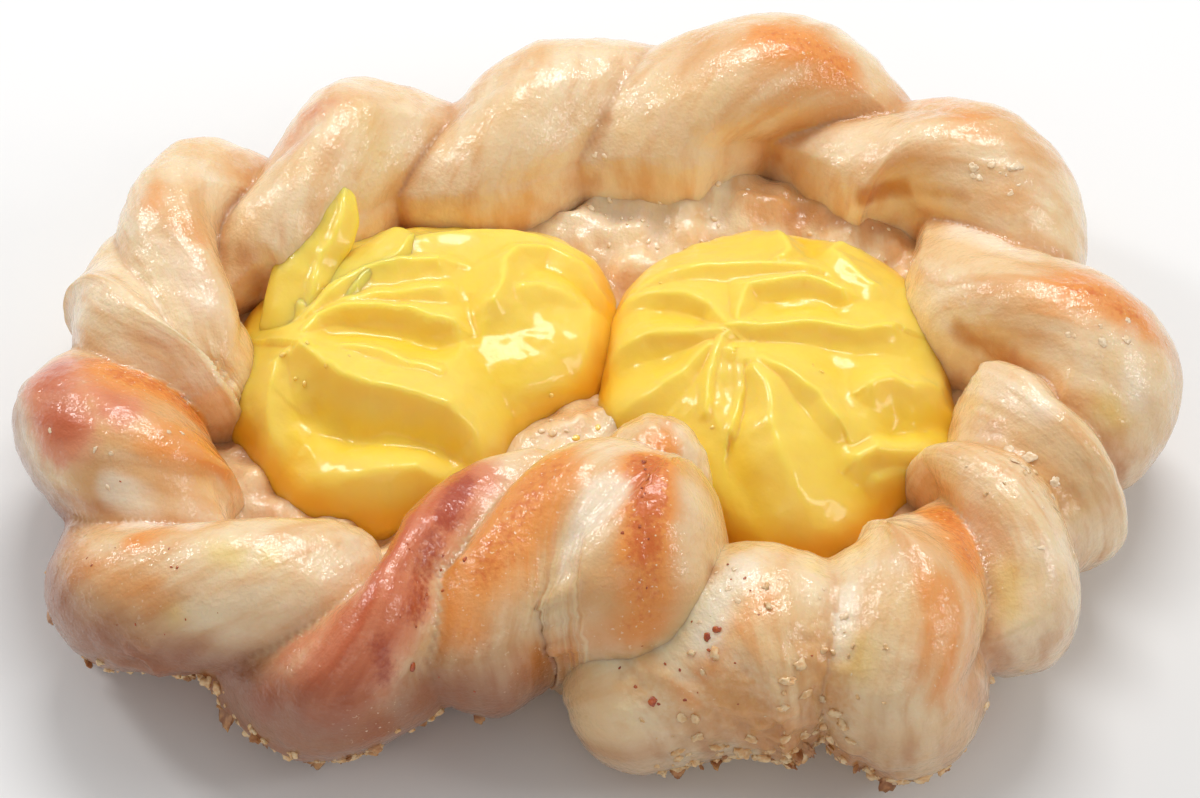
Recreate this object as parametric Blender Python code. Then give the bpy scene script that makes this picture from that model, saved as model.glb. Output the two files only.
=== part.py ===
"""Danish pastry: a rope of two twisted dough strands, laid in an oval ring on a dough floor,
with two piped rosettes of custard side by side in the ring. Metres, +Z up, seen from the front along +Y.

Run it with: blender --background --python part.py
"""

import math

import bmesh
import bpy
import numpy as np

MM = 0.001

# The rope, lobe by lobe, from the end that lies on top at the front, clockwise as seen from above.
# Each row says where the rope's axis is (azimuth in degrees, distance from the middle in mm), how high
# the axis is and how thick the lobe makes the rope (its radius, mm).
LOBES = (
    (-64.0, 29.5, 17.0, 12.5),
    (-80.0, 27.8, 16.0, 14.4),
    (-99.0, 24.5, 16.2, 11.4),
    (-124.0, 42.6, 13.0, 13.4),
    (-155.0, 55.6, 12.6, 12.6),
    (-178.0, 54.5, 12.5, 13.4),
    (171.0, 52.0, 12.2, 13.2),
    (154.0, 52.2, 13.4, 12.8),
    (133.0, 45.5, 12.4, 13.6),
    (104.0, 41.0, 12.6, 13.2),
    (71.0, 46.4, 14.0, 14.3),
    (42.0, 54.2, 12.8, 13.6),
    (17.5, 51.5, 12.6, 13.9),
    (-2.5, 53.8, 12.6, 13.3),
    (-17.0, 49.0, 12.1, 12.2),
    (-44.0, 49.0, 12.6, 14.4),
    (-64.0, 40.0, 12.4, 12.2),
    (-90.0, 39.0, 7.8, 9.2),
)
# The crease after each lobe: its depth, from 0 for none to 1 for two round strands side by side, and the
# lobe numbers where it crosses four lines along the rope: low outside, outer shoulder, top and inside.
CREASE_LINES = (-40.0, 30.0, 90.0, 150.0)  # section angles, 0 outward and 90 up
CREASES = (
    (0.3, 0.50, 0.50, 0.40, 0.30),
    (0.35, 2.50, 2.30, 1.65, 1.40),
    (0.7, 2.82, 2.85, 2.66, 1.75),
    (0.8, 3.62, 3.38, 3.09, 2.85),
    (1.0, 4.40, 4.25, 3.98, 3.65),
    (0.7, 5.55, 5.30, 4.93, 4.83),
    (0.4, 7.00, 6.75, 5.90, 5.00),
    (1.1, 7.80, 7.65, 7.36, 6.40),
    (0.9, 8.78, 8.72, 8.63, 8.20),
    (0.6, 9.95, 9.80, 9.58, 9.23),
    (1.0, 10.80, 10.80, 10.77, 10.26),
    (0.9, 12.15, 12.12, 11.93, 11.48),
    (0.8, 13.45, 13.46, 13.43, 12.75),
    (0.5, 14.30, 14.27, 14.10, 14.02),
    (0.9, 14.85, 14.95, 14.60, 14.30),
    (0.5, 15.65, 15.65, 15.60, 15.65),
    (0.15, 16.25, 16.32, 16.60, 16.70),
    (0.4, 17.80, 17.75, 17.70, 17.70),
)
FIRST_LOBE, LAST_LOBE = 0.85, 16.7  # where the rope starts and ends, counted in lobes
UNDERSIDE_FROM, UNDERSIDE_TO = -60.0, -85.0  # section angles between which the strands fade out below
STRAND_OFFSET = 0.36  # a strand's axis lies this share of the rope's radius from the rope's axis
START_ROUNDING, END_ROUNDING = 0.55, 0.8  # how far each end bulges, as a share of the radius
SECTION_POINTS = 60
RINGS_PER_LOBE = 20
CAP_RINGS = 3

# The strand's tip that stands up at the rope's start: its middle and its reach along x, y and z, mm
TIP_MIDDLE, TIP_REACH = (5.8, -16.5, 17.4), (6.4, 7.6, 7.2)

# The floor of dough inside the ring, with the lumps that show between the rosettes, mm
FLOOR_MIDDLE, FLOOR_REACH = (0.0, 4.0), (50.0, 36.0)
FLOOR_HEIGHT = 10.5
FLOOR_LUMPS = (  # x, y, radius, height
    (-1.2, 28.5, 6.5, 2.2),
    (11.1, 28.5, 7.0, 2.4),
    (-5.2, -9.0, 6.0, 3.6),
    (1.0, -3.5, 3.6, 2.4),
    (-12.5, 29.0, 5.0, 1.5),
)
RIDGE_MIDDLE, RIDGE_REACH = (14.0, 2.0), (31.5, 31.5)  # the inner coil behind the right rosette
RIDGE_FROM, RIDGE_TO = 10.0, 100.0  # azimuths, degrees
RIDGE_WIDTH, RIDGE_HEIGHT = 5.0, 3.2
FLOOR_RINGS, FLOOR_SPOKES = 14, 56
BELOW = -4.0  # the floor and the custards run down to here before they are cut
FUSE_STEP = 0.88  # how finely rope, floor and tip are fused into one lump of dough, mm
KEPT_FACES = 0.06  # the share of the fused faces that the finished dough keeps

# The custard rosettes, mm: the distance from the middle to the rim every 24 degrees from +X,
# counter-clockwise, the apex from which the folds spread, the height over the floor,
# and the crests of the folds, each with its height, its width and its line.
CUSTARD_BASE = 9.0
RIGHT_MIDDLE, RIGHT_APEX, RIGHT_TOP = (21.0, 1.0), (15.0, 4.6), 19.6
RIGHT_RIM = (20.3, 22.3, 24.6, 26.2, 26.2, 26.0, 24.0, 21.4, 20.8, 19.5, 20.5, 23.5, 22.8, 20.2, 22.6)
RIGHT_FOLDS = (
    (2.8, 2.0, ((0.0, 6.2), (7.3, 5.8), (15.0, 4.6))),
    (2.2, 1.8, ((3.0, 13.5), (9.6, 11.1), (15.0, 5.5))),
    (2.6, 2.0, ((6.0, 17.5), (12.5, 15.5), (15.8, 5.0))),
    (2.8, 2.2, ((15.6, 5.0), (18.3, 11.5), (25.5, 18.0))),
    (2.8, 2.2, ((15.6, 5.0), (22.7, 5.6), (33.6, 3.0))),
    (2.4, 2.2, ((15.5, 3.5), (19.3, -1.7), (25.0, -4.5))),
    (2.8, 1.8, ((14.8, 4.0), (13.8, -2.0), (14.4, -11.0))),
    (2.8, 2.0, ((14.5, 4.0), (9.0, -1.6), (1.5, -4.2))),
    (2.0, 2.4, ((22.0, 22.0), (24.0, 15.5))),
    (2.0, 2.4, ((30.0, 19.0), (34.5, 10.0))),
    (2.2, 2.4, ((31.0, -8.8), (39.5, -3.0))),
    (2.6, 2.6, ((23.0, -19.0), (31.2, -14.4), (39.5, -12.5))),
    (3.0, 4.6, ((18.5, -3.5), (20.5, -10.5), (20.3, -17.5))),
)
LEFT_MIDDLE, LEFT_APEX, LEFT_TOP = (-20.5, 3.0), (-30.0, 3.5), 19.4
LEFT_RIM = (20.0, 25.0, 28.0, 26.0, 25.0, 25.5, 24.5, 24.0, 23.4, 22.0, 22.0, 21.0, 18.0, 14.5, 14.5)
LEFT_FOLDS = (
    (2.8, 2.4, ((-35.6, 8.3), (-34.0, 15.5), (-31.5, 21.0))),
    (2.4, 2.0, ((-33.0, 8.0), (-29.5, 13.4), (-22.0, 15.8))),
    (2.0, 1.8, ((-31.2, 8.8), (-27.0, 10.2), (-19.5, 10.9))),
    (2.6, 1.8, ((-33.5, 3.4), (-28.0, 7.4), (-16.5, 5.4))),
    (2.6, 1.8, ((-30.0, 2.2), (-24.5, 0.6), (-18.5, -2.2))),
    (3.6, 2.2, ((-33.9, 1.4), (-25.0, -5.2), (-12.0, -11.5))),
    (2.4, 2.4, ((-37.6, -1.0), (-36.5, -12.0))),
    (3.0, 3.6, ((-28.0, -14.0), (-17.5, -13.6))),
    (3.2, 3.0, ((-20.5, 18.0), (-10.0, 21.5), (0.0, 18.0))),
    (2.6, 2.0, ((-11.6, 11.0), (-10.0, 18.8), (-1.5, 16.2))),
    (2.4, 2.2, ((-1.4, 12.0), (-0.6, 4.0), (-2.0, -2.5))),
    (1.6, 1.8, ((-14.4, 11.0), (-13.6, 3.0))),
)
TONGUE_MIDDLE, TONGUE_REACH = (-31.6, 20.5, 16.0), (4.6, 8.0, 5.6)  # climbs onto the rope
RIM_FULLNESS = 3.0  # how flat the custard's top stays before it drops to the rim
CUSTARD_RINGS, CUSTARD_SPOKES = 12, 48
GAP = 0.3  # clearance between the custards and the dough, mm


def smooth_rows(rows, at):
    """The rows of a table as one smooth line: its values at the given row numbers, fractions included."""
    rows = np.asarray(rows, float)
    at = np.clip(np.asarray(at, float), 0.0, len(rows) - 1.0)
    first = np.minimum(at.astype(int), len(rows) - 2)
    u = (at - first)[:, None]
    before = rows[np.maximum(first - 1, 0)]
    after = rows[np.minimum(first + 2, len(rows) - 1)]
    a, b = rows[first], rows[first + 1]
    bend = (2 * before - 5 * a + 4 * b - after) * u**2
    return 0.5 * (2 * a + (b - before) * u + bend + (3 * (a - b) + after - before) * u**3)


def axis_points(at):
    """The rope's axis at the given lobe numbers, mm."""
    azimuth, reach, height = (np.array(LOBES)[:, k] for k in range(3))
    azimuth = np.radians(azimuth)
    corners = np.column_stack([reach * np.cos(azimuth), reach * np.sin(azimuth), height])
    return smooth_rows(corners, at)


def section_axes(at):
    """The rope's direction at the given lobe numbers, and the outward and upward axes of its section."""
    step = 0.05
    along = axis_points(at + step) - axis_points(at - step)
    along /= np.linalg.norm(along, axis=1, keepdims=True)
    outward = np.column_stack([-along[:, 1], along[:, 0], np.zeros(len(at))])
    outward /= np.linalg.norm(outward, axis=1, keepdims=True)
    return along, outward, np.cross(along, outward)


def rope_radius(at, angle):
    """The rope's radius at lobe numbers and section angles (0 outward, 90 degrees up), mm.

    Each lobe is a strand beside the rope's axis, round between the crease before it and the one after.
    """
    thickness, table = np.array(LOBES)[:, 3], np.array(CREASES)
    depth, crossings = table[:, 0], table[:, 1:]
    degrees = (np.degrees(angle) + 90) % 360 - 90
    line = np.interp(degrees, CREASE_LINES, np.arange(len(CREASE_LINES)))
    weight = np.clip(1 - np.abs(line[:, None] - np.arange(len(CREASE_LINES))), 0.0, 1.0)
    after = np.maximum.accumulate(weight @ crossings.T, axis=1)
    lobe = np.minimum((after <= at[:, None]).sum(axis=1), len(CREASES) - 1)
    before = np.maximum(lobe - 1, 0)
    last = after[np.arange(len(at)), lobe]
    first = np.where(lobe > 0, after[np.arange(len(at)), before], last - 1)
    share = (at - first) / np.maximum(last - first, 0.05)
    crease = depth[before] + (depth[lobe] - depth[before]) * share**2 * (3 - 2 * share)
    offset = STRAND_OFFSET * thickness[lobe]
    turned = (share - 0.5) * math.pi
    strand = offset * np.cos(turned)
    strand += np.sqrt((thickness[lobe] - offset) ** 2 - (offset * np.sin(turned)) ** 2)
    plain = smooth_rows(thickness[:, None], at)[:, 0]
    from_below = np.minimum(degrees + 90, 270 - degrees) - 90
    shown = np.clip((from_below - UNDERSIDE_TO) / (UNDERSIDE_FROM - UNDERSIDE_TO), 0.0, 1.0)
    return plain + shown * crease * (strand - plain)


def rope_surface():
    """(points, faces) of the rope with its rounded ends, mm."""
    count = int((LAST_LOBE - FIRST_LOBE) * RINGS_PER_LOBE)
    rings = [(at, 1.0, 0.0) for at in np.linspace(FIRST_LOBE, LAST_LOBE, count)]
    for turn in (math.pi / 2 * k / (CAP_RINGS + 1) for k in range(1, CAP_RINGS + 1)):
        rings.insert(0, (FIRST_LOBE, math.cos(turn), -START_ROUNDING * math.sin(turn)))
        rings.append((LAST_LOBE, math.cos(turn), END_ROUNDING * math.sin(turn)))
    spread = np.arange(SECTION_POINTS) / SECTION_POINTS * 2 * math.pi
    points = []
    for place, shrink, ahead in rings:
        at = np.full(SECTION_POINTS, place)
        along, outward, upward = section_axes(at)
        radius = rope_radius(at, spread) * shrink
        forward = ahead * end_radius(place)
        sideways = outward * (radius * np.cos(spread))[:, None]
        points.append(axis_points(at) + sideways + upward * (radius * np.sin(spread))[:, None])
        points[-1] += along * forward
    poles = [end_pole(FIRST_LOBE, -START_ROUNDING), end_pole(LAST_LOBE, END_ROUNDING)]
    faces = ring_faces(len(rings), SECTION_POINTS)
    faces += fan_faces(0, SECTION_POINTS, len(rings) * SECTION_POINTS)
    faces += fan_faces((len(rings) - 1) * SECTION_POINTS, SECTION_POINTS, len(rings) * SECTION_POINTS + 1)
    return np.vstack(points + poles), faces


def end_radius(place):
    return float(smooth_rows(np.array(LOBES)[:, 3:4], [place])[0, 0])


def end_pole(place, rounding):
    """The last point of a rope end."""
    at = np.array([place])
    return axis_points(at) + section_axes(at)[0] * rounding * end_radius(place)


def ring_faces(rings, count):
    """Quads between rings of count points each."""
    faces = []
    for ring in range(rings - 1):
        for j in range(count):
            k = (j + 1) % count
            a, b = ring * count, (ring + 1) * count
            faces.append((a + j, b + j, b + k, a + k))
    return faces


def fan_faces(first, count, pole):
    """Triangles from a pole to the ring of points that starts at first."""
    return [(first + j, first + (j + 1) % count, pole) for j in range(count)]


def ellipsoid_surface(middle, reach, rings=9, spokes=16):
    points = []
    for ring in range(1, rings):
        tilt = math.pi * ring / rings
        for turn in np.arange(spokes) / spokes * 2 * math.pi:
            level = math.sin(tilt)
            points.append((level * math.cos(turn), level * math.sin(turn), math.cos(tilt)))
    points += [(0.0, 0.0, 1.0), (0.0, 0.0, -1.0)]
    faces = ring_faces(rings - 1, spokes) + fan_faces(0, spokes, len(points) - 2)
    faces += fan_faces((rings - 2) * spokes, spokes, len(points) - 1)
    return np.array(points) * reach + middle, faces


def floor_top(x, y):
    """The height of the dough floor inside the ring, mm."""
    z = np.full_like(x, FLOOR_HEIGHT)
    for lump_x, lump_y, radius, height in FLOOR_LUMPS:
        z += height * np.exp(-((x - lump_x) ** 2 + (y - lump_y) ** 2) / radius**2)
    across_x = (x - RIDGE_MIDDLE[0]) / RIDGE_REACH[0]
    across_y = (y - RIDGE_MIDDLE[1]) / RIDGE_REACH[1]
    off = (np.hypot(across_x, across_y) - 1) * RIDGE_REACH[1] / RIDGE_WIDTH
    middle, half = (RIDGE_FROM + RIDGE_TO) / 2, (RIDGE_TO - RIDGE_FROM) / 2
    azimuth = np.degrees(np.arctan2(across_y, across_x))
    fade = np.clip(4 - 3 * np.abs(azimuth - middle) / half, 0.0, 1.0)
    return z + RIDGE_HEIGHT * fade * np.exp(-off * off)


def disc_surface(middle, rim_x, rim_y, shares, height_at):
    """(points, faces) of a solid with a modelled top and a flat underside at BELOW, mm."""
    points = []
    for share in shares[1:]:
        x = middle[0] + share * (rim_x - middle[0])
        y = middle[1] + share * (rim_y - middle[1])
        points.append(np.column_stack([x, y, height_at(x, y, share)]))
    spokes = len(rim_x)
    points.append(np.column_stack([rim_x, rim_y, np.full(spokes, BELOW)]))
    x, y = np.array([middle[0]]), np.array([middle[1]])
    poles = [np.column_stack([x, y, height_at(x, y, 0.0)]), np.column_stack([x, y, [BELOW]])]
    faces = ring_faces(len(points), spokes)
    faces += fan_faces(0, spokes, len(points) * spokes)
    faces += fan_faces((len(points) - 1) * spokes, spokes, len(points) * spokes + 1)
    return np.vstack(points + poles), faces


def floor_surface():
    turn = np.arange(FLOOR_SPOKES) / FLOOR_SPOKES * 2 * math.pi
    rim_x = FLOOR_MIDDLE[0] + FLOOR_REACH[0] * np.cos(turn)
    rim_y = FLOOR_MIDDLE[1] + FLOOR_REACH[1] * np.sin(turn)
    shares = np.linspace(0, 1, FLOOR_RINGS + 1)
    return disc_surface(FLOOR_MIDDLE, rim_x, rim_y, shares, lambda x, y, share: floor_top(x, y))


def distance_to_line(x, y, line):
    """How far points are from a line through the given points, mm."""
    nearest = np.full_like(x, 1000.0)
    for (ax, ay), (bx, by) in zip(line, line[1:]):
        run_x, run_y = bx - ax, by - ay
        along = ((x - ax) * run_x + (y - ay) * run_y) / (run_x**2 + run_y**2)
        along = np.clip(along, 0.0, 1.0)
        nearest = np.minimum(nearest, np.hypot(x - ax - along * run_x, y - ay - along * run_y))
    return nearest


def fold_relief(x, y, folds):
    """How far the crests of the folds stand over the custard's plain top, mm: sharp on top, hollow between."""
    relief = np.zeros_like(x)
    for height, width, line in folds:
        relief = np.maximum(relief, height * np.exp(-distance_to_line(x, y, line) / width))
    return relief


def custard_surface(middle, apex, top, rim, folds, extra=0.0):
    """(points, faces) of a rosette whose mesh spreads from the apex to the rim, mm."""
    turn = np.arange(CUSTARD_SPOKES) / CUSTARD_SPOKES
    rows = rim[-2:] + rim + rim[:3]
    reach = smooth_rows(np.array(rows)[:, None], 2 + turn * len(rim))[:, 0] + extra
    rim_x = middle[0] + reach * np.cos(turn * 2 * math.pi)
    rim_y = middle[1] + reach * np.sin(turn * 2 * math.pi)
    shares = np.sin(np.linspace(0, math.pi / 2, CUSTARD_RINGS + 1))

    def height_at(x, y, share):
        fullness = (1 - share**RIM_FULLNESS) ** 0.5
        return CUSTARD_BASE + (top - CUSTARD_BASE + fold_relief(x, y, folds)) * fullness + extra

    return disc_surface(apex, rim_x, rim_y, shares, height_at)


def mesh_object(name, *surfaces):
    """An object of one or more closed surfaces."""
    mesh = bpy.data.meshes.new(name)
    all_points, all_faces = [], []
    for points, faces in surfaces:
        all_faces += [tuple(index + len(all_points) for index in face) for face in faces]
        all_points += [tuple(point) for point in points * MM]
    mesh.from_pydata(all_points, [], all_faces)
    work = bmesh.new()
    work.from_mesh(mesh)
    bmesh.ops.recalc_face_normals(work, faces=work.faces)
    bmesh.ops.triangulate(work, faces=work.faces)
    work.to_mesh(mesh)
    work.free()
    obj = bpy.data.objects.new(name, mesh)
    bpy.context.collection.objects.link(obj)
    return obj


def helper(name, *surfaces):
    """A piece that only cuts or joins another, and isn't itself part of the pastry."""
    obj = mesh_object(name, *surfaces)
    obj.hide_render = True
    obj.display_type = "WIRE"
    return obj


def combine(obj, other, operation):
    modifier = obj.modifiers.new(operation.lower() + " " + other.name, "BOOLEAN")
    modifier.operation = operation
    modifier.solver = "EXACT"
    modifier.object = other


def fuse(obj):
    """Makes one lump of the closed surfaces in an object, with few faces where it is plain."""
    remesh = obj.modifiers.new("fuse", "REMESH")
    remesh.mode = "VOXEL"
    remesh.voxel_size = FUSE_STEP * MM
    thin_out = obj.modifiers.new("thin out", "DECIMATE")
    thin_out.ratio = KEPT_FACES


def underside_cutter():
    """A block whose top is the plane that the pastry rests on."""
    half = 100.0
    corners = [(x, y, z) for x in (-half, half) for y in (-half, half) for z in (-half, 0.0)]
    faces = [(0, 1, 3, 2), (4, 6, 7, 5), (0, 4, 5, 1), (2, 3, 7, 6), (0, 2, 6, 4), (1, 5, 7, 3)]
    return helper("underside cutter", (np.array(corners), faces))


def stand_on_origin(objects):
    """Moves everything alike, so that the middle of the dough's underside is the origin."""
    bpy.context.view_layer.update()
    depsgraph = bpy.context.evaluated_depsgraph_get()
    corners = np.array(bpy.data.objects["dough"].evaluated_get(depsgraph).bound_box)
    middle = (corners.min(axis=0) + corners.max(axis=0)) / 2
    for obj in objects:
        obj.location = (-middle[0], -middle[1], 0.0)


def main():
    for obj in list(bpy.data.objects):
        bpy.data.objects.remove(obj)
    below = underside_cutter()
    dough_surfaces = (rope_surface(), floor_surface(), ellipsoid_surface(TIP_MIDDLE, TIP_REACH))
    dough = mesh_object("dough", *dough_surfaces)
    fuse(dough)
    combine(dough, below, "DIFFERENCE")
    clearance = helper("dough clearance", *dough_surfaces)
    fuse(clearance)
    clearance.modifiers.new("swell", "DISPLACE").strength = GAP * MM
    clearance.modifiers["swell"].mid_level = 0.0

    right = (RIGHT_MIDDLE, RIGHT_APEX, RIGHT_TOP, RIGHT_RIM, RIGHT_FOLDS)
    left = (LEFT_MIDDLE, LEFT_APEX, LEFT_TOP, LEFT_RIM, LEFT_FOLDS)
    custard_right = mesh_object("custard_right", custard_surface(*right))
    custard_left = mesh_object("custard_left", custard_surface(*left))
    combine(custard_left, helper("tongue", ellipsoid_surface(TONGUE_MIDDLE, TONGUE_REACH)), "UNION")
    combine(custard_left, helper("right custard clearance", custard_surface(*right, GAP)), "DIFFERENCE")
    for custard in (custard_left, custard_right):
        combine(custard, clearance, "DIFFERENCE")
    stand_on_origin(bpy.data.objects)


main()
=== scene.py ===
"""Looks of a danish pastry: the skin of the twisted rope of dough, with its glaze and browned patches,
the dough floor inside the ring, two piped custard rosettes, crumbs, and the light and camera.

Sizes in the tables are in mm and measured as the solids are; the objects are in metres.
"""

import math

import bmesh
import bpy
import numpy as np
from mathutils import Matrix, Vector
from mathutils.bvhtree import BVHTree


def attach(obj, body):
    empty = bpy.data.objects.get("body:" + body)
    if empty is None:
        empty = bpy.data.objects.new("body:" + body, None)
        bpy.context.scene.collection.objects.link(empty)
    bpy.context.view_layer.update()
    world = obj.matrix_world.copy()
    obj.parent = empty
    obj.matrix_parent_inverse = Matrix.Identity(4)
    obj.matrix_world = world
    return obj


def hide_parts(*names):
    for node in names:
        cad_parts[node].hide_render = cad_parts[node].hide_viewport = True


MM = 0.001
SHIFT = np.array([0.259, -3.499, 0.0])  # from the middle of the tables to the middle of the underside

# The rope, lobe by lobe, from the end that lies on top at the front, clockwise as seen from above:
# azimuth in degrees, distance of its axis from the middle, height of its axis, radius.
LOBES = (
    (-64, 29.5, 17, 12.5),
    (-80, 27.8, 16, 14.4),
    (-99, 24.5, 16.2, 11.4),
    (-124, 42.6, 13, 13.4),
    (-155, 55.6, 12.6, 12.6),
    (-178, 54.5, 12.5, 13.4),
    (171, 52, 12.2, 13.2),
    (154, 52.2, 13.4, 12.8),
    (133, 45.5, 12.4, 13.6),
    (104, 41, 12.6, 13.2),
    (71, 46.4, 14, 14.3),
    (42, 54.2, 12.8, 13.6),
    (17.5, 51.5, 12.6, 13.9),
    (-2.5, 53.8, 12.6, 13.3),
    (-17, 49, 12.1, 12.2),
    (-44, 49, 12.6, 14.4),
    (-64, 40, 12.4, 12.2),
    (-90, 39, 7.8, 9.2),
)
# The crease after each lobe: its depth, from 0 for none to 1 for two round strands side by side, and the
# lobe numbers where it crosses four lines along the rope: low outside, outer shoulder, top and inside.
CREASE_LINES = (-40.0, 30.0, 90.0, 150.0)  # section angles, 0 outward and 90 up
CREASES = (
    (0.3, 0.5, 0.5, 0.4, 0.3),
    (0, 2.5, 2.3, 1.65, 1.4),
    (0.7, 2.82, 2.85, 2.66, 1.75),
    (0.8, 3.62, 3.38, 3.09, 2.85),
    (1, 4.4, 4.25, 3.98, 3.65),
    (0.7, 5.55, 5.3, 4.93, 4.83),
    (0.4, 7, 6.75, 5.9, 5),
    (1.1, 7.8, 7.65, 7.36, 6.4),
    (0.9, 8.78, 8.72, 8.63, 8.2),
    (0.6, 9.95, 9.8, 9.58, 9.23),
    (1, 10.8, 10.8, 10.77, 10.26),
    (0.9, 12.15, 12.12, 11.93, 11.48),
    (0.8, 13.45, 13.46, 13.43, 12.75),
    (0.5, 14.3, 14.27, 14.1, 14.02),
    (0.9, 14.85, 14.95, 14.6, 14.3),
    (0.5, 15.65, 15.65, 15.6, 15.65),
    (0.15, 16.25, 16.32, 16.6, 16.7),
    (0.4, 17.8, 17.75, 17.7, 17.7),
)
FIRST_LOBE, LAST_LOBE = 0.85, 16.7
STRAND_OFFSET = 0.36
START_ROUNDING, END_ROUNDING = 0.55, 0.8
ROPE_RINGS, ROPE_SIDES, CAP_RINGS = 640, 140, 14
LOBE_SPACING = 16.0  # from lobe to lobe along the rope, about, mm
UNCROSSED = 0.06  # the least advance from ring to ring, mm
# The strands that run into one another: the lobes between which they do and over how much of a lobe that
# fades in, the section angles of the join and of its fading, and how many rings blend.
JOINED_STRANDS = (1, 2)
JOIN_FROM, JOIN_TO, JOIN_FADE = 1.45, 2.35, 0.3
JOIN_LOW, JOIN_HIGH, JOIN_EDGE = -60, 130, 30
JOIN_BLUR = 9
CREASE_GROOVE, CREASE_WIDTH, CREASE_ROUNDING = 0.4, 1.1, 0.6
UNDERSIDE_FROM, UNDERSIDE_TO = -60.0, -85.0  # section angles between which the strands fade out below
# Unevenness, as height, size and seed of its lumps, and the height below which the dough's foot is ragged.
DOUGH_LUMPS = ((0.30, 8.0, 1), (0.16, 3.6, 2), (0.06, 1.5, 3))
CRAGS = ((0.6, 1.9, 6), (0.4, 0.9, 7))
FLOOR_BUMPS = ((1.3, 3.6, 10), (0.5, 1.8, 11))
RAGGED_HEIGHT = 5.0

TIP_MIDDLE, TIP_REACH = (5.8, -16.5, 17.4), (6.4, 7.6, 7.2)

FLOOR_MIDDLE, FLOOR_REACH = (0.0, 4.0), (53.0, 38.5)
FLOOR_HEIGHT = 10.5
FLOOR_LUMPS = (  # x, y, radius, height
    (-1.2, 28.5, 6.5, 2.2),
    (11.1, 28.5, 7, 2.4),
    (-5.2, -9, 6, 3.6),
    (1, -3.5, 3.6, 2.4),
    (-12.5, 29, 5, 1.5),
)
RIDGE_MIDDLE, RIDGE_REACH = (14.0, 2.0), (31.5, 31.5)
RIDGE_FROM, RIDGE_TO = 10.0, 100.0
RIDGE_WIDTH, RIDGE_HEIGHT = 5.0, 3.2
FLOOR_RINGS, FLOOR_SPOKES = 70, 300
FLOOR_BOTTOM = 2.0

# The custard rosettes: the distance from the middle to the rim every 24 degrees from +X, counter-clockwise,
# the apex from which the folds spread, and the folds: height of the crest over the plain top (below 0 for
# a hollow), width on the left and on the right of its line, and the line, all in mm.
CUSTARD_BASE = 8.0
RIGHT_MIDDLE, RIGHT_APEX, RIGHT_TOP = (21.0, 1.0), (17.6, 1.6), 18.6
RIGHT_RIM = (20.8, 22.8, 25.0, 26.6, 26.6, 26.3, 24.3, 21.7, 21.1, 20.0, 21.0, 24.0, 23.3, 20.7, 23.1)
RIGHT_FOLDS = (
    (2.2, 3.2, 0.9, ((-1.5, 5.3), (1.1, 5.1), (6.9, 4.3), (13.9, 3.7))),
    (1.9, 2.2, 1, ((1.8, 12.6), (5.6, 11.9), (9.6, 10.7), (12.3, 8.9), (14.1, 5.8), (15.2, 3.9))),
    (1.7, 3, 1.2, ((4, 14), (7.4, 15.1), (13.1, 15.4), (19.3, 15.4), (24, 14.4))),
    (1.9, 1.3, 0.9, ((15.8, 4.4), (16.3, 7.5), (17.3, 11.3), (19.2, 11.9), (23.8, 12.2), (28.5, 11.1))),
    (2.4, 2.6, 1, ((15, 4.2), (20.1, 4.7), (24.8, 4.9), (29.6, 4.7), (33.8, 5.5))),
    (2, 1.3, 0.9, ((15.5, 4), (13.9, 2.9), (13.2, -0.8), (12.6, -3.7), (12.3, -8))),
    (1.9, 1.4, 2.2, ((12.8, 1.8), (11.6, 0.7), (9.4, -1.8), (5.8, -3.6), (1.2, -4.4))),
    (2.6, 2.8, 1.5, ((16, -0.4), (18.3, -0.8), (20.4, -2.3), (23, -4), (25.2, -5.5), (27, -8.5))),
    (2.6, 3.2, 0.6, ((14.9, -10), (15.2, -8), (15.7, -4.5), (16, -0.6))),
    (2.9, 3.2, 3.4, ((17.2, -2), (18.2, -4.2), (19.5, -10.7), (21.1, -17), (23.6, -20.5), (27.6, -21))),
    (2.2, 1.2, 1.7, ((21.2, 22.4), (22.6, 19.6), (22.7, 17.6), (21.8, 16.2))),
    (1.9, 1.4, 1.4, ((29.2, 20.9), (27.6, 18.9), (28.7, 16.8), (32.5, 13))),
    (2.4, 1.7, 1.2, ((29.5, -13), (31.6, -11.7), (35.6, -10.9), (38.9, -10.5))),
    (2, 1.3, 1.3, ((32, -14.6), (34.3, -13), (37.1, -11.8))),
    (2.2, 1.8, 1.2, ((31, -3.6), (33.5, -2.4), (36.2, -2.7), (39.1, -0.9), (41, 3))),
    (-1.3, 3, 3, ((7.3, 0.9), (9, 0.9))),
    (-1.3, 1.8, 1.8, ((7.4, 8.6), (11.4, 7.3))),
    (-1.2, 2, 2, ((21.2, 8.6), (27, 8.6))),
    (-1.8, 0.7, 1.2, ((14.4, -10.4), (15, -7), (15.3, -3), (15.4, -0.8))),
    (-1.6, 1.3, 1.6, ((14, -10.4), (16, -15.7), (18.4, -20), (21.6, -22.6))),
    (-1.4, 1.2, 1.2, ((24.6, 22), (25.6, 19))),
    (-2, 1.4, 1.6, ((33.8, -7.6), (37, -6.8), (40.2, -5))),
    (-0.9, 2.4, 2.4, ((27, -1), (28.5, -8), (28, -15))),
)
LEFT_MIDDLE, LEFT_APEX, LEFT_TOP = (-20.5, 3.0), (-23.0, 1.6), 18.2
LEFT_RIM = (20.5, 25.5, 28.5, 26.5, 25.5, 26.0, 25.0, 24.5, 23.9, 22.5, 22.5, 21.5, 18.5, 15.0, 15.0)
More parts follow.
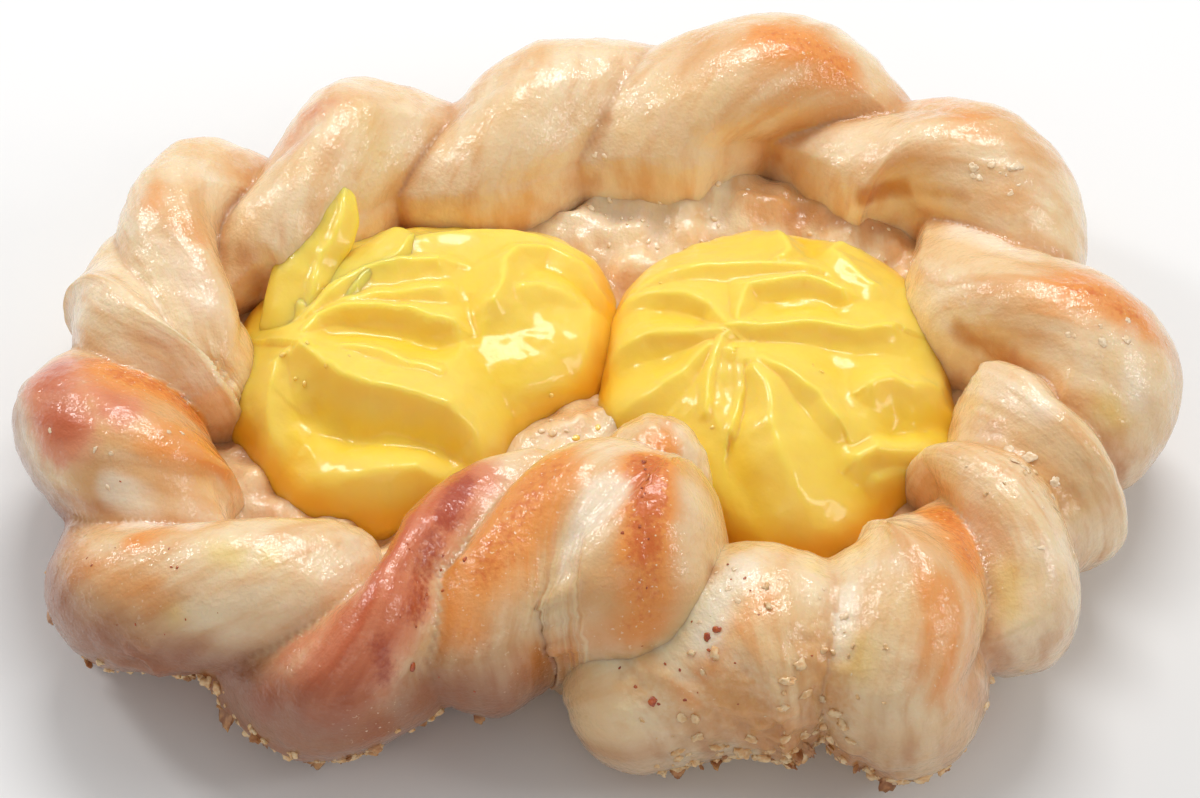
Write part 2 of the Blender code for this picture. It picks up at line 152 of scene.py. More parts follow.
LEFT_FOLDS = (
    (2.4, 1.6, 1.6, ((-35.8, 10.3), (-35.2, 13.1), (-33.4, 15.9), (-31.8, 20.1), (-31, 25))),
    (2, 2.2, 1.3, ((-34, 8), (-32.8, 9.8), (-30.8, 12.2), (-27.9, 14.3), (-23.7, 15.4), (-19, 15.6))),
    (1.4, 1.2, 1, ((-33, 7.8), (-30.3, 9.1), (-26.5, 10), (-22.9, 10.3), (-18.5, 10.6))),
    (2.3, 1.5, 1.1, ((-34.6, 4.6), (-33.1, 6.6), (-30.1, 7.6), (-26.3, 7.6), (-22.7, 7), (-17.5, 5.6))),
    (2.2, 1.8, 2.6, ((-29.6, 1.7), (-28.3, 1.5), (-25.4, 0.7), (-22.4, -1.1), (-18.5, -2.2))),
    (4, 4.4, 1.7, ((-34.6, 0.8), (-31.5, -2.4), (-29.1, -4.2), (-25.6, -5.6), (-20.4, -6.1), (-16.9, -6.8),
                     (-14, -9), (-12.2, -12.9))),
    (2.4, 1.6, 1.8, ((-37.2, -9), (-37.9, -3.7), (-37.5, 0), (-35.5, 1.8))),
    (3.6, 3, 3.4, ((-33, -16), (-30, -15.5), (-27, -14.8), (-24.2, -14.2), (-20.8, -13.9), (-16.2, -14.6))),
    (2.3, 2.4, 2.6, ((-23, 19.6), (-19.5, 21.1), (-13.4, 23), (-6.3, 22.7), (-1.2, 20.6))),
    (2.2, 1.7, 1.4, ((-12.2, 8.5), (-11.4, 12.2), (-10.9, 16.4), (-9.4, 19.1), (-5.7, 20.1), (-2.1, 18.3),
                     (1.5, 14.3))),
    (1.7, 1.5, 1.6, ((-9.2, 11.9), (-7.1, 13), (-4.8, 12.7), (-2.7, 11.6), (-0.9, 11))),
    (2.3, 2.4, 1.2, ((-8.4, -5), (-6, -2.7), (-1.7, 1.5), (-0.8, 7.3), (-1.2, 11))),
    (-2, 1.6, 1.6, ((-38.2, 9.6), (-36.6, 14.5), (-34.4, 19))),
    (-1.7, 1.9, 2, ((-31.5, 4.2), (-28.7, 4.8), (-24.5, 4.4), (-19.5, 3))),
    (-2.2, 1.8, 2.4, ((-32.5, -6.4), (-28, -9.4), (-24.2, -10.2), (-19.5, -10), (-16.9, -10.6))),
    (-1, 2.2, 2.2, ((-33.8, -11), (-34.5, -7))),
    (-0.8, 1.2, 1.2, ((-15.2, 9.8), (-14.6, 4))),
    (-1.2, 2.6, 2.6, ((-13, 1), (-11, -5))),
    (-1, 1.3, 1.5, ((-6, 16.4), (-3, 15.4), (-0.5, 13))),
)
# The custard's flaps beside the left rosette: half the width, half the height and the line, mm.
TONGUE = (5.8, 2.3, ((-37.0, 7.0, 14.0), (-35.0, 13.5, 16.6), (-32.8, 19.5, 19.4), (-30.8, 25.0, 21.8)))
FLAP = (5.6, 2.4, ((-36.0, 5.5, 14.5), (-30.5, 12.5, 16.2), (-26.0, 17.5, 17.0), (-22.5, 21.5, 17.2)))
FLAP_CREST = 0.5
RIM_FULLNESS = 3.0
CREST_ROUNDING, HOLLOW_ROUNDING = 0.45, 1.2
HOLLOW_FROM, HOLLOW_TO = -1.6, 2.2  # fold heights that count as wholly hollow and as a crest
RUFFLES_BELOW, RUFFLES_FADE = 17.5, 4.0
CUSTARD_LUMPS, CUSTARD_SWELLS = ((0.10, 2.6, 29), (0.03, 1.0, 30)), ((0.3, 5.0, 25), (0.05, 1.3, 26))
FOLD_WARP_X, FOLD_WARP_Y = ((0.5, 6.0, 21), (0.12, 2.0, 22)), ((0.5, 6.0, 23), (0.12, 2.0, 24))
CUSTARD_RINGS, CUSTARD_SPOKES = 110, 400

# Patches on the rope, by kind: strength, reach in mm, and two ends, each a lobe number and a section angle.
# Patches of the kinds in STRAND_KINDS stay on the strands that their ends lie on; joined strands are one.
ROPE_PATCHES = {
    "tan": (
        (0.8, 7, (9.9, 90), (10.5, 90)), (0.6, 5, (10.2, 160), (10.6, 110)),
        (0.7, 6, (11, 95), (11.5, 60)), (0.6, 5, (10.9, 140), (11.7, 90)),
        (0.8, 6.5, (12.4, 85), (12.8, 50)), (0.55, 6, (12.4, 118), (12.9, 90)),
        (0.6, 5, (14.15, 115), (14.15, 60)), (0.75, 8, (14.9, 98), (15.1, 26)),
        (0.5, 6, (15.8, 64), (15.7, 20)), (0.6, 5, (16.4, 26), (15.8, 0)),
        (0.9, 6, (0.9, 105), (1, 33)), (0.85, 7, (2.1, 99), (2.6, 60)),
        (0.6, 6, (2.6, 30), (2.75, 15)), (0.8, 7, (4.1, 13), (3.7, 37)),
        (0.45, 6, (3.7, 66), (3.45, 66)), (0.9, 7, (4.6, 91), (4.4, 143)),
        (0.85, 6, (4.2, 78), (4.15, 136)), (0.35, 5, (5.2, 83), (5, 120)),
        (0.7, 4.5, (6.8, 75), (6.55, 99)), (0.35, 5, (6.4, 109), (6.1, 136)),
        (0.6, 5.5, (7.6, 70), (8.1, 84)), (0.35, 5, (7.2, 126), (7.3, 149)),
        (0.4, 5, (8.4, 148), (9, 160)), (0.5, 6, (13.3, 43), (13.9, 25)),
    ),
    "browned": (
        (0.85, 4.5, (10.2, 84), (10.5, 85)), (0.45, 4, (10.9, 56), (11.3, 92)),
        (0.85, 5, (12.6, 85), (12.8, 60)), (0.95, 4, (14.5, 125), (14.8, 82)),
        (0.6, 5, (15.1, 70), (15.2, 40)), (1.3, 3.4, (0.9, 113), (0.85, 80)),
        (0.9, 3.6, (0.85, 60), (0.9, 43)), (0.8, 3.4, (0.9, 30), (1.6, -5)),
        (0.9, 5, (2, 100), (2.5, 73)), (0.7, 4, (2.6, 92), (2.7, 48)),
        (1, 5, (4.8, 96), (4.75, 149)), (0.7, 4, (4.3, 116), (4.4, 150)),
        (0.8, 2.4, (3.85, 72), (3.62, 138)), (0.6, 2.4, (6.8, 72), (6.7, 75)),
        (0.5, 2.2, (6.6, 98), (6.5, 109)), (0.9, 3, (3, 9), (3, 0)), (0.5, 4, (4, 34), (3.7, 48)),
        (0.5, 3, (16, 82), (16.4, 42)), (0.7, 4.5, (2.55, 12), (2.05, 0)),
        (1.2, 3.2, (0.86, 100), (0.9, 60)),
    ),
    "pink": (
        (1, 5, (4.85, 53), (4.45, 66)), (0.8, 4, (4.85, 78), (4.5, 96)),
        (1, 5.5, (2.3, 138), (2.9, 96)), (1, 6.5, (2.9, 78), (3.1, 32)),
        (0.6, 5, (3.2, 52), (3.3, 15)), (0.45, 5, (7.9, 79), (7.65, 86)),
        (0.5, 3, (0.9, 70), (0.85, 115)),
    ),
    "streak": (
        (1, 2, (2.3, 133), (2.5, 112)), (0.8, 2.4, (2.6, 104), (2.82, 69)),
        (0.8, 2, (2.95, 54), (2.95, 37)),
    ),
    # White glaze; the patch from lobe 4.15 to 3.74 is a painted highlight.
    "milk_and_highlight": (
        (1, 3.6, (1.55, 82), (2.15, 38)), (1, 3, (4.15, 82), (3.74, 102)),
        (0.5, 5, (8.9, 95), (9.2, 139)), (0.5, 5, (9.6, 127), (9.9, 145)),
        (0.6, 4, (10.45, 137), (10.7, 116)), (0.8, 4, (11.75, 124), (12.1, 92)),
        (0.7, 4, (13.6, 140), (13.8, 92)), (0.6, 4, (14.5, 47), (14.8, 32)),
        (0.6, 5, (6.4, 92), (6, 119)), (0.7, 3, (4, 80), (3.64, 136)),
        (0.85, 3.4, (16.25, 73), (16, 108)), (0.8, 2.6, (15.55, 88), (15.6, 55)),
        (0.5, 4, (7.5, 95), (7.9, 86)), (0.7, 3, (12.9, 63), (13.2, 48)),
        (0.5, 3, (3.2, 100), (3.45, 40)), (0.7, 2.6, (0.85, 140), (0.85, 125)),
    ),
    "stain": (
        (0.9, 1.6, (3.55, 83), (3.5, 85)), (0.7, 1.3, (3.4, 91), (3.4, 92)),
        (0.6, 1.2, (3.6, 45), (3.6, 46)), (0.8, 1.8, (14.7, 60), (14.8, 40)),
        (0.6, 1.2, (15.7, 110), (15.7, 112)), (0.8, 2, (13.3, 60), (13.3, 53)),
        (0.7, 2, (15.5, 55), (15.5, 48)), (0.4, 3, (8.1, 97), (8.1, 114)),
        (0.5, 1.4, (3.4, 130), (3.4, 131)),
    ),
    "rough": (
        (1, 5.5, (16.2, 35), (15.9, 0)), (1, 5, (15.8, -10), (15.4, -30)),
        (0.8, 4, (15.7, 55), (15.6, 26)), (0.9, 4, (3.7, 12), (3.5, -35)),
        (0.8, 4, (3.5, -35), (3.3, -30)), (0.6, 3, (14.35, 96), (14.2, 48)),
        (0.6, 4, (16.4, 30), (16.6, 60)),
    ),
    # Painted shade in the pockets of the creases.
    "deep_shade": (
        (0.6, 1.6, (10.2, 169), (10.3, 165)), (1, 1.8, (10.9, 158), (11.3, 142)),
        (0.6, 1.6, (11.35, 138), (11.6, 112)), (0.9, 2.2, (12.4, 150), (12.8, 133)),
        (0.8, 1.6, (16.15, 110), (16.5, 82)), (0.6, 2.4, (6.8, 142), (6.7, 185)),
        (0.7, 1.6, (4.3, 38), (4.12, 72)), (0.5, 2, (8.2, 163), (8.6, 154)),
        (0.6, 2, (9.3, 165), (9.4, 123)), (0.6, 2.4, (13.8, 174), (14, 113)),
    ),
}
STRAND_KINDS = ("tan", "browned", "pink", "streak", "milk_and_highlight", "stain")
# How dark the bottom of the rope is at each lobe, and the section angles between which that darkening fades
# in.
# That darkening is partly baked browning and partly painted shade on the lower sides, away from the light.
FOOT_BROWN_AND_SHADE = (0.3, 0.3, 0.45, 1.0, 1.0, 0.7, 0.3, 0.2, 0.2, 0.3, 0.3, 0.2, 0.25, 0.4, 0.3, 0.45, 0.45, 0.5)
FOOT_FROM, FOOT_TO = 75.0, -10.0
# Patches on the floor and on the tip, by kind, with their ends in the tables' millimetres.
FLOOR_PATCHES = {
    # Painted shade in the pockets between the floor, the rope and the custard.
    "deep_shade": (
        (1, 3, (24, 28.5, 15), (36, 24.5, 16)),
        (0.8, 2.6, (-26, 27, 15), (-16, 27, 15)),
        (0.7, 2.6, (41, 6, 15), (43, -6, 15)),
        (0.6, 2.4, (-2, 31.5, 14), (4, 32.5, 14)),
    ),
    "tan": (
        (0.8, 4, (20, 32, 14), (34, 26.5, 15)),
        (0.8, 4, (36, 24, 15), (43, 12, 15)),
        (0.6, 5, (5.8, -16.5, 22), (5.8, -13, 20)),
    ),
    "browned": (
        (0.9, 3.2, (5.4, -21, 24), (6.5, -17.5, 24.5)),
    ),
    "milk_and_highlight": (
        (0.6, 5, (-3, 28, 13), (14, 27, 13)),
        (0.6, 4, (-8, -8, 13), (2, -4, 13)),
    ),
}
PATCH_KINDS = ("tan", "browned", "pink", "streak", "milk_and_highlight", "stain", "rough", "deep_shade")

# Burnt specks on the rope: lobe number, section angle and length in mm.
BURNT_SPECKS = (
    (0.85, 104, 1.1), (0.99, 90, 0.8), (0.86, 96, 0.9), (0.94, 71, 0.6),
    (1.06, 74, 0.5), (0.88, 112, 1), (1.96, 93, 0.5), (2.88, 36, 1.2),
    (2.97, 33, 0.6), (2.82, 21, 0.7), (2.54, 87, 0.8), (2.6, 98, 0.7),
    (2.64, 93, 0.6), (2.58, 20, 0.7), (16.19, 73, 1.7), (16.24, 71, 1.2),
    (16.29, 82, 1.2), (16.01, 89, 1), (16.4, 58, 1), (16.58, 45, 1.3),
    (16.42, 40, 1.4), (16.08, 110, 0.6), (3.67, 67, 0.8), (3.65, 68, 0.5),
    (3.57, 45, 0.9), (3.62, 33, 0.6),
)
# Scattered pieces on the rope: lobe number, section angle, how far they spread round both, how many,
# and the length of the largest in mm.
FINE_SPECKS = (
    (0.92, 95, 0.1, 25, 16, 0.45),
    (16.25, 65, 0.25, 25, 22, 0.5),
    (2.8, 70, 0.15, 40, 18, 0.45),
    (3.7, 55, 0.3, 30, 12, 0.4),
)
CRUMBS = (
    (15.85, 40, 0.3, 25, 34, 1.7),
    (15.9, -20, 0.45, 14, 60, 2),
    (15.4, -33, 0.25, 8, 40, 2.2),
    (3.55, -27, 0.3, 12, 55, 1.9),
    (3.3, -34, 0.25, 8, 40, 1.6),
    (14.3, 80, 0.08, 25, 8, 1),
    (16.6, 0, 0.1, 30, 16, 1.2),
)
CRUST_FLAKES = (
    (3.55, -38, 0.3, 8, 22, 3.4),
    (3.2, -42, 0.2, 8, 10, 2.6),
    (15.9, -32, 0.4, 8, 18, 3.2),
    (15.4, -38, 0.2, 8, 10, 3.6),
)
GLAZE_FLAKES = (
    (11.6, 88, 0.06, 7, 12, 1.9),
    (14.2, 88, 0.06, 12, 10, 1.7),
    (14.4, 55, 0.1, 12, 8, 1.2),
    (12.95, 80, 0.06, 12, 7, 1.3),
    (15.6, 72, 0.04, 16, 6, 1.2),
    (16.1, 95, 0.1, 15, 10, 1.1),
    (4.4, 95, 0.12, 25, 8, 0.7),
    (9.4, 140, 0.1, 15, 4, 0.8),
)
# Beads of glaze on the floor, x and y in mm, how far they spread, how many, and the largest in mm.
GLAZE_BEADS = (
    (3, 28.5, 3.4, 14, 1.1),
    (11, 28.5, 3.4, 14, 1),
    (-3, -9, 3, 14, 1.2),
    (31, 25.5, 3.4, 8, 0.9),
)
CUSTARD_BUBBLES = (  # x, y and width, mm
    (-36.5, 0.9, 0.9), (-33.5, 0.9, 0.7), (-34.9, -2, 0.6), (-33.8, -2.9, 0.8),
    (-31.2, -2.6, 0.6), (-28.7, -0.4, 0.5), (-5.7, -0.8, 0.7), (-2.8, -6.7, 1),
    (-0.3, -4.8, 0.9), (-0.8, -9.2, 0.8), (12.6, -9.1, 0.6), (7.1, 13.7, 0.6),
    (24.3, -0.9, 0.5), (25.3, -1.8, 0.6),
)


def colour(red, green, blue):
    """A linear colour from its screen values, 0 to 255."""
    return tuple((level / 255) ** 2.2 for level in (red, green, blue)) + (1.0,)


def smooth_rows(rows, at):
    """The rows of a table as one smooth line: its values at the given row numbers, fractions included."""
    rows = np.asarray(rows, float)
    at = np.clip(np.asarray(at, float), 0.0, len(rows) - 1.0)
    first = np.minimum(at.astype(int), len(rows) - 2)
    u = (at - first)[:, None]
    before = rows[np.maximum(first - 1, 0)]
    after = rows[np.minimum(first + 2, len(rows) - 1)]
    a, b = rows[first], rows[first + 1]
    bend = (2 * before - 5 * a + 4 * b - after) * u**2
    return 0.5 * (2 * a + (b - before) * u + bend + (3 * (a - b) + after - before) * u**3)


def lumps(points, size, seed):
    """Smooth random lumps of about the given size, from -1 to 1, at points in mm."""
    cells = 32
    lattice = np.random.default_rng(seed).uniform(-1, 1, (cells, cells, cells))
    place = np.asarray(points) / size
    first = np.floor(place).astype(int)
    u = place - first
    u = u**3 * (u * (u * 6 - 15) + 10)
    total = np.zeros(len(place))
    for corner in np.ndindex(2, 2, 2):
        weight = np.prod(np.abs(1 - np.array(corner) - u), axis=1)
        total += weight * lattice[tuple(((first + corner) % cells).T)]
    return total


def relief(points, rows):
    """Lumps on lumps, mm: each row is their height, their size and their seed."""
    return sum(height * lumps(points, size, seed) for height, size, seed in rows)


def distance_to_segment(points, start, end):
    start, run = np.array(start), np.array(end) - np.array(start)
    share = np.clip((points - start) @ run / max(run @ run, 1e-9), 0.0, 1.0)
    return np.linalg.norm(points - start - share[:, None] * run, axis=1)


def patch_mask(points, patches, lobe=None):
    """How much of one kind of patch there is at points, mm, from 0 to 1.

    A patch is its strength, its reach, its two ends and the first and last strand that it lies on; lobe
    has the points' strands, where patches stay on theirs.
    """
    mask = np.zeros(len(points))
    for strength, reach, start, end, first, last in patches:
        share = strength * np.exp(-((distance_to_segment(points, start, end) / reach) ** 2))
        if lobe is not None:
            share = np.where((lobe >= first) & (lobe <= last), share, 0.0)
        mask = np.maximum(mask, share)
    return mask


def axis_points(at):
    """The rope's axis at the given lobe numbers, mm."""
    azimuth, reach, height = (np.array(LOBES)[:, k] for k in range(3))
    azimuth = np.radians(azimuth)
    return smooth_rows(np.column_stack([reach * np.cos(azimuth), reach * np.sin(azimuth), height]), at)


def section_axes(at):
    """The rope's direction at the given lobe numbers, and the outward and upward axes of its section."""
    step = 0.05
    along = axis_points(at + step) - axis_points(at - step)
    along /= np.linalg.norm(along, axis=1, keepdims=True)
    outward = np.column_stack([-along[:, 1], along[:, 0], np.zeros(len(at))])
    outward /= np.linalg.norm(outward, axis=1, keepdims=True)
    return along, outward, np.cross(along, outward)


def strand_places(at, angle):
    """Where points of the rope lie across its strands.

    Takes lobe numbers and section angles (0 outward, 90 degrees up). Gives each point's lobe, how far
    it is from the lobe's middle (-0.5 at the crease before it, 0.5 at the crease after it), the depth
    of the creases there, and the distance to the nearest one in mm.
    """
    table = np.array(CREASES)
    depth, crossings = table[:, 0], table[:, 1:]
    turned = np.interp(np.degrees(angle), CREASE_LINES, np.arange(len(CREASE_LINES)))
    weight = np.clip(1 - np.abs(turned[:, None] - np.arange(len(CREASE_LINES))), 0.0, 1.0)
    after = np.maximum.accumulate(weight @ crossings.T, axis=1)
    lobe = np.minimum((after <= at[:, None]).sum(axis=1), len(CREASES) - 1)
    last = after[np.arange(len(at)), lobe]
    first = np.where(lobe > 0, after[np.arange(len(at)), np.maximum(lobe - 1, 0)], last - 1)
    share = (at - first) / np.maximum(last - first, 0.05)
    eased = share * share * (3 - 2 * share)
    depth_here = depth[np.maximum(lobe - 1, 0)] * (1 - eased) + depth[lobe] * eased
    nearest = np.minimum(at - first, last - at) * LOBE_SPACING
    return lobe, share - 0.5, depth_here, nearest


def rope_radius(at, angle):
    """The rope's radius at lobe numbers and section angles, mm: lobes are strands off the rope's axis."""
    thickness = np.array(LOBES)[:, 3]
    lobe, off, crease, nearest = strand_places(at, angle)
    plain = smooth_rows(thickness[:, None], at)[:, 0]
    radius = smooth_rows(thickness[:, None], lobe + off)[:, 0]
    offset = STRAND_OFFSET * radius
    turned = off * math.pi
    strand = offset * np.cos(turned) + np.sqrt((radius - offset) ** 2 - (offset * np.sin(turned)) ** 2)
    from_below = (np.degrees(angle) + 90) % 360
    from_below = np.minimum(from_below, 360 - from_below)
    shown = np.clip((from_below - 90 - UNDERSIDE_TO) / (UNDERSIDE_FROM - UNDERSIDE_TO), 0.0, 1.0)
    rounded = np.sqrt(nearest**2 + CREASE_ROUNDING**2)
    groove = CREASE_GROOVE * np.sqrt(crease) * np.exp(-rounded / CREASE_WIDTH)
    return plain + shown * (crease * (strand - plain) - groove)


def rope_points(at, angle):
    """Points of the rope's surface at lobe numbers and section angles, mm in the final frame."""
    along, outward, upward = section_axes(at)
    radius = rope_radius(at, angle)
    sideways = outward * (radius * np.cos(angle))[:, None]
    return axis_points(at) + sideways + upward * (radius * np.sin(angle))[:, None] + SHIFT


def rope_patches(kind):
    """A kind's patches on the rope, with their ends as places and with their first and last strand."""
    patches = []
    for strength, reach, start, end in ROPE_PATCHES[kind]:
        at, angle = np.array([start[0], end[0]]), np.radians([start[1], end[1]])
        places = rope_points(np.clip(at, FIRST_LOBE, LAST_LOBE), angle)
        lobe = strand_places(at, angle)[0]
        if np.isin(lobe, JOINED_STRANDS).any():
            lobe = np.append(lobe, JOINED_STRANDS)
        patches.append((strength, reach, places[0], places[1], lobe.min(), lobe.max()))
    return patches


def floor_patches(kind):
    rows = FLOOR_PATCHES.get(kind, ())
    return [(strength, reach, start + SHIFT, end + SHIFT, 0, 0) for strength, reach, start, end in rows]


def ring_faces(rings, count):
    """Quads between rings of count points each."""
    index = np.arange(rings * count).reshape(rings, count)
    after = np.roll(index, -1, axis=1)
    return np.stack([index[:-1], index[1:], after[1:], after[:-1]], axis=-1).reshape(-1, 4)


def fan_faces(first, count, pole):
    """Triangles from a pole to the ring of points that starts at first."""
    ring = first + np.arange(count)
    return np.stack([ring, np.roll(ring, -1), np.full(count, pole)], axis=-1)


def mesh_piece(name, points, *face_groups):
    """A smooth piece from points in mm and groups of faces, which are turned to face outward."""
    mesh = bpy.data.meshes.new(name)
    faces = [tuple(face) for group in face_groups for face in group.tolist()]
    mesh.from_pydata((points * MM).tolist(), [], faces)
    work = bmesh.new()
    work.from_mesh(mesh)
    bmesh.ops.recalc_face_normals(work, faces=work.faces)
    work.to_mesh(mesh)
    work.free()
    mesh.shade_smooth()
    piece = bpy.data.objects.new(name, mesh)
    bpy.context.collection.objects.link(piece)
    return piece


def capped_piece(name, points, rings, sides, ends):
    """A closed piece from rings of points and a point at each end, in the tables' mm."""
    count = rings * sides
    return mesh_piece(
        name,
        np.vstack([points.reshape(-1, 3), ends]) + SHIFT,
        ring_faces(rings, sides),
        fan_faces(0, sides, count),
        fan_faces(count - sides, sides, count + 1),
    )


def coordinates(piece):
    """A piece's points, mm."""
    flat = np.empty(len(piece.data.vertices) * 3, np.float32)
    piece.data.vertices.foreach_get("co", flat)
    return flat.reshape(-1, 3).astype(float) / MM


def normals(piece):
    flat = np.empty(len(piece.data.vertices) * 3, np.float32)
    piece.data.vertex_normals.foreach_get("vector", flat)
    return flat.reshape(-1, 3).astype(float)


def place_points(piece, points):
    piece.data.vertices.foreach_set("co", (points * MM).astype(np.float32).ravel())
    piece.data.update()


def store(piece, name, values):
    """Keeps a number for each point of a piece, for its material to read."""
    piece.data.attributes.new(name, "FLOAT", "POINT").data.foreach_set("value", values.astype(np.float32))


def uncross(points, along):
    """Straightens the lines along the rope where rings cross on the inside of a tight bend.

    Takes points and directions by ring and side, and moves the points in place.
    """
    advance = ((points[1:] - points[:-1]) * along[:-1]).sum(axis=2)
    advance[:CAP_RINGS], advance[-CAP_RINGS:] = 1.0, 1.0
    for side in range(points.shape[1]):
        crossed = np.flatnonzero(advance[:, side] < 0)
        while len(crossed):
            first = last = crossed[0]
            while last + 1 in crossed:
                last += 1
            start, end = first, last + 1
            line = points[:, side]
            while (line[end] - line[start]) @ along[start, side] < UNCROSSED * (end - start):
                start, end = max(start - 1, 0), min(end + 1, len(points) - 1)
            share = np.linspace(0, 1, end - start + 1)[:, None]
            line[start:end + 1] = line[start] * (1 - share) + line[end] * share
            crossed = crossed[crossed > end]


def smooth_join(points, rings, angle):
    """Fills the dip where two strands run into one another without a crease, in place.

    Takes points by ring and side, the rings' lobe numbers and the sides' section angles.
    """
    reach = 3 * JOIN_BLUR
    weight = np.exp(-((np.arange(-reach, reach + 1) / JOIN_BLUR) ** 2) / 2)
    weight /= weight.sum()
    first, last = np.searchsorted(rings, JOIN_FROM - 0.5), np.searchsorted(rings, JOIN_TO + 0.5)
    window = points[np.clip(np.arange(first - reach, last + reach), 0, len(points) - 1)]
    blurred = np.zeros_like(points[first:last])
    for k, share in enumerate(weight):
        blurred += share * window[k:k + last - first]
    at = rings[first:last]
    along = np.clip(np.minimum(at - JOIN_FROM, JOIN_TO - at) / JOIN_FADE + 0.5, 0.0, 1.0)
    degrees = (np.degrees(angle) + 90) % 360 - 90
    around = np.clip(np.minimum(degrees - JOIN_LOW, JOIN_HIGH - degrees) / JOIN_EDGE, 0.0, 1.0)
    amount = (along[:, None] * around)[:, :, None]
    points[first:last] += amount * (blurred - points[first:last])


def rope_skin():
    """The rope before it is made uneven, and its points' lobe numbers and section angles."""
    places = np.linspace(FIRST_LOBE, LAST_LOBE, ROPE_RINGS)
    turns = np.linspace(0, math.pi / 2, CAP_RINGS + 2)[1:-1]
    rings = np.concatenate([np.full(CAP_RINGS, FIRST_LOBE), places, np.full(CAP_RINGS, LAST_LOBE)])
    shrink = np.concatenate([np.cos(turns[::-1]), np.ones(ROPE_RINGS), np.cos(turns)])
    start, end = -START_ROUNDING * np.sin(turns[::-1]), END_ROUNDING * np.sin(turns)
    ahead = np.concatenate([start, np.zeros(ROPE_RINGS), end])
    at = np.repeat(rings, ROPE_SIDES)
    spread = np.tile(np.arange(ROPE_SIDES) / ROPE_SIDES * 2 * math.pi, len(rings))
    angle = spread - math.pi / 2
    along, outward, upward = section_axes(at)
    thickness = np.array(LOBES)[:, 3:4]
    radius = rope_radius(at, angle) * np.repeat(shrink, ROPE_SIDES)
    forward = np.repeat(ahead, ROPE_SIDES) * smooth_rows(thickness, at)[:, 0]
    points = axis_points(at) + outward * (radius * np.cos(angle))[:, None]
    points += upward * (radius * np.sin(angle))[:, None] + along * forward[:, None]
    grid = points.reshape(len(rings), ROPE_SIDES, 3)
    uncross(grid, along.reshape(len(rings), ROPE_SIDES, 3))
    smooth_join(grid, rings, angle[:ROPE_SIDES])
    poles = []
    for place, rounding in ((FIRST_LOBE, -START_ROUNDING), (LAST_LOBE, END_ROUNDING)):
        end = np.array([place])
        poles.append(axis_points(end) + section_axes(end)[0] * rounding * smooth_rows(thickness, end))
    piece = capped_piece("dough_rope", points, len(rings), ROPE_SIDES, np.vstack(poles))
    at = np.append(at, [FIRST_LOBE, LAST_LOBE])
    angle = np.append(angle, [math.pi / 2, math.pi / 2])
    return piece, at, angle


def uneven_dough(points, outward, rough, along_strand=None):
    """Dough's points with its lumps, wrinkles and crumbly places, mm."""
    move = relief(points, DOUGH_LUMPS)
    if along_strand is not None:
        move += 0.10 * lumps(along_strand, 1.0, 4) + 0.06 * lumps(along_strand * 1.9, 1.0, 5)
    low = np.clip(1 - points[:, 2] / RAGGED_HEIGHT, 0.0, 1.0)
    ragged = 0.5 * lumps(points * (1.0, 1.0, 0.6), 1.3, 8) + 0.3 * lumps(points, 0.8, 9)
    move += rough * relief(points, CRAGS) + low * ragged
    moved = points + outward * move[:, None]
    moved[:, 2] = np.maximum(moved[:, 2], 0.0)
    return moved


def paint_dough(piece, masks, crease, foot_brown_and_shade, strand):
    """Keeps what a piece's material needs: patches by kind, painted shade in creases, browning and painted
    shade low on the rope, and places on the strand.
    """
    store(piece, "crease", crease)
    store(piece, "foot_brown_and_shade", foot_brown_and_shade)
    for kind, mask in masks.items():
        store(piece, kind, mask)
    piece.data.attributes.new("strand", "FLOAT_VECTOR", "POINT").data.foreach_set(
        "vector", (strand * MM).astype(np.float32).ravel()
    )


def make_rope():
    piece, at, angle = rope_skin()
    points = coordinates(piece)
    lobe, off, depth, from_crease = strand_places(at, angle)
    degrees = (np.degrees(angle) + 90) % 360 - 90
    masks = {}
    for kind in PATCH_KINDS:
        masks[kind] = patch_mask(points, rope_patches(kind), lobe if kind in STRAND_KINDS else None)
    wrinkles = np.column_stack([(lobe + off) * LOBE_SPACING, at * 6.4, np.zeros(len(at))])
    place_points(piece, uneven_dough(points, normals(piece), masks["rough"], wrinkles))
    # Baked browning and painted shade low on the rope: darker towards the underside.
    lit = np.clip((degrees - FOOT_TO) / (FOOT_FROM - FOOT_TO), 0.0, 1.0)
    foot_brown_and_shade = smooth_rows(np.array(FOOT_BROWN_AND_SHADE)[:, None], at)[:, 0] * (1 - lit * lit * (3 - 2 * lit))
    # Painted shade on the inner low side, under the rope.
    foot_brown_and_shade = np.maximum(foot_brown_and_shade, 0.5 * np.clip((degrees - 165) / 50, 0.0, 1.0))
    strand = np.column_stack([(lobe + off) * LOBE_SPACING, angle * 12.0, np.zeros(len(at))])
    # Painted shade in the creases, darkest in the deepest ones.
    paint_dough(piece, masks, np.clip(depth, 0, 1) * np.exp(-from_crease / 1.6), foot_brown_and_shade, strand)
    return piece


def make_tip():
    """The strand's end that stands up at the rope's start."""
    rings, sides = 60, 90
    tilt = np.repeat(np.linspace(0, math.pi, rings + 1)[1:-1], sides)
    turn = np.tile(np.arange(sides) / sides * 2 * math.pi, rings - 1)
    points = np.column_stack([np.sin(tilt) * np.cos(turn), np.sin(tilt) * np.sin(turn), np.cos(tilt)])
    ends = np.array([(0, 0, 1), (0, 0, -1)]) * TIP_REACH + TIP_MIDDLE
    piece = capped_piece("dough_tip", points * TIP_REACH + TIP_MIDDLE, rings - 1, sides, ends)
    plain = coordinates(piece)
    masks = {kind: patch_mask(plain, floor_patches(kind)) for kind in PATCH_KINDS}
    masks["rough"] = np.full(len(plain), 0.35)
    place_points(piece, uneven_dough(plain, normals(piece), masks["rough"]))
    nothing = np.zeros(len(plain))
    paint_dough(piece, masks, nothing, nothing, plain)
    return piece


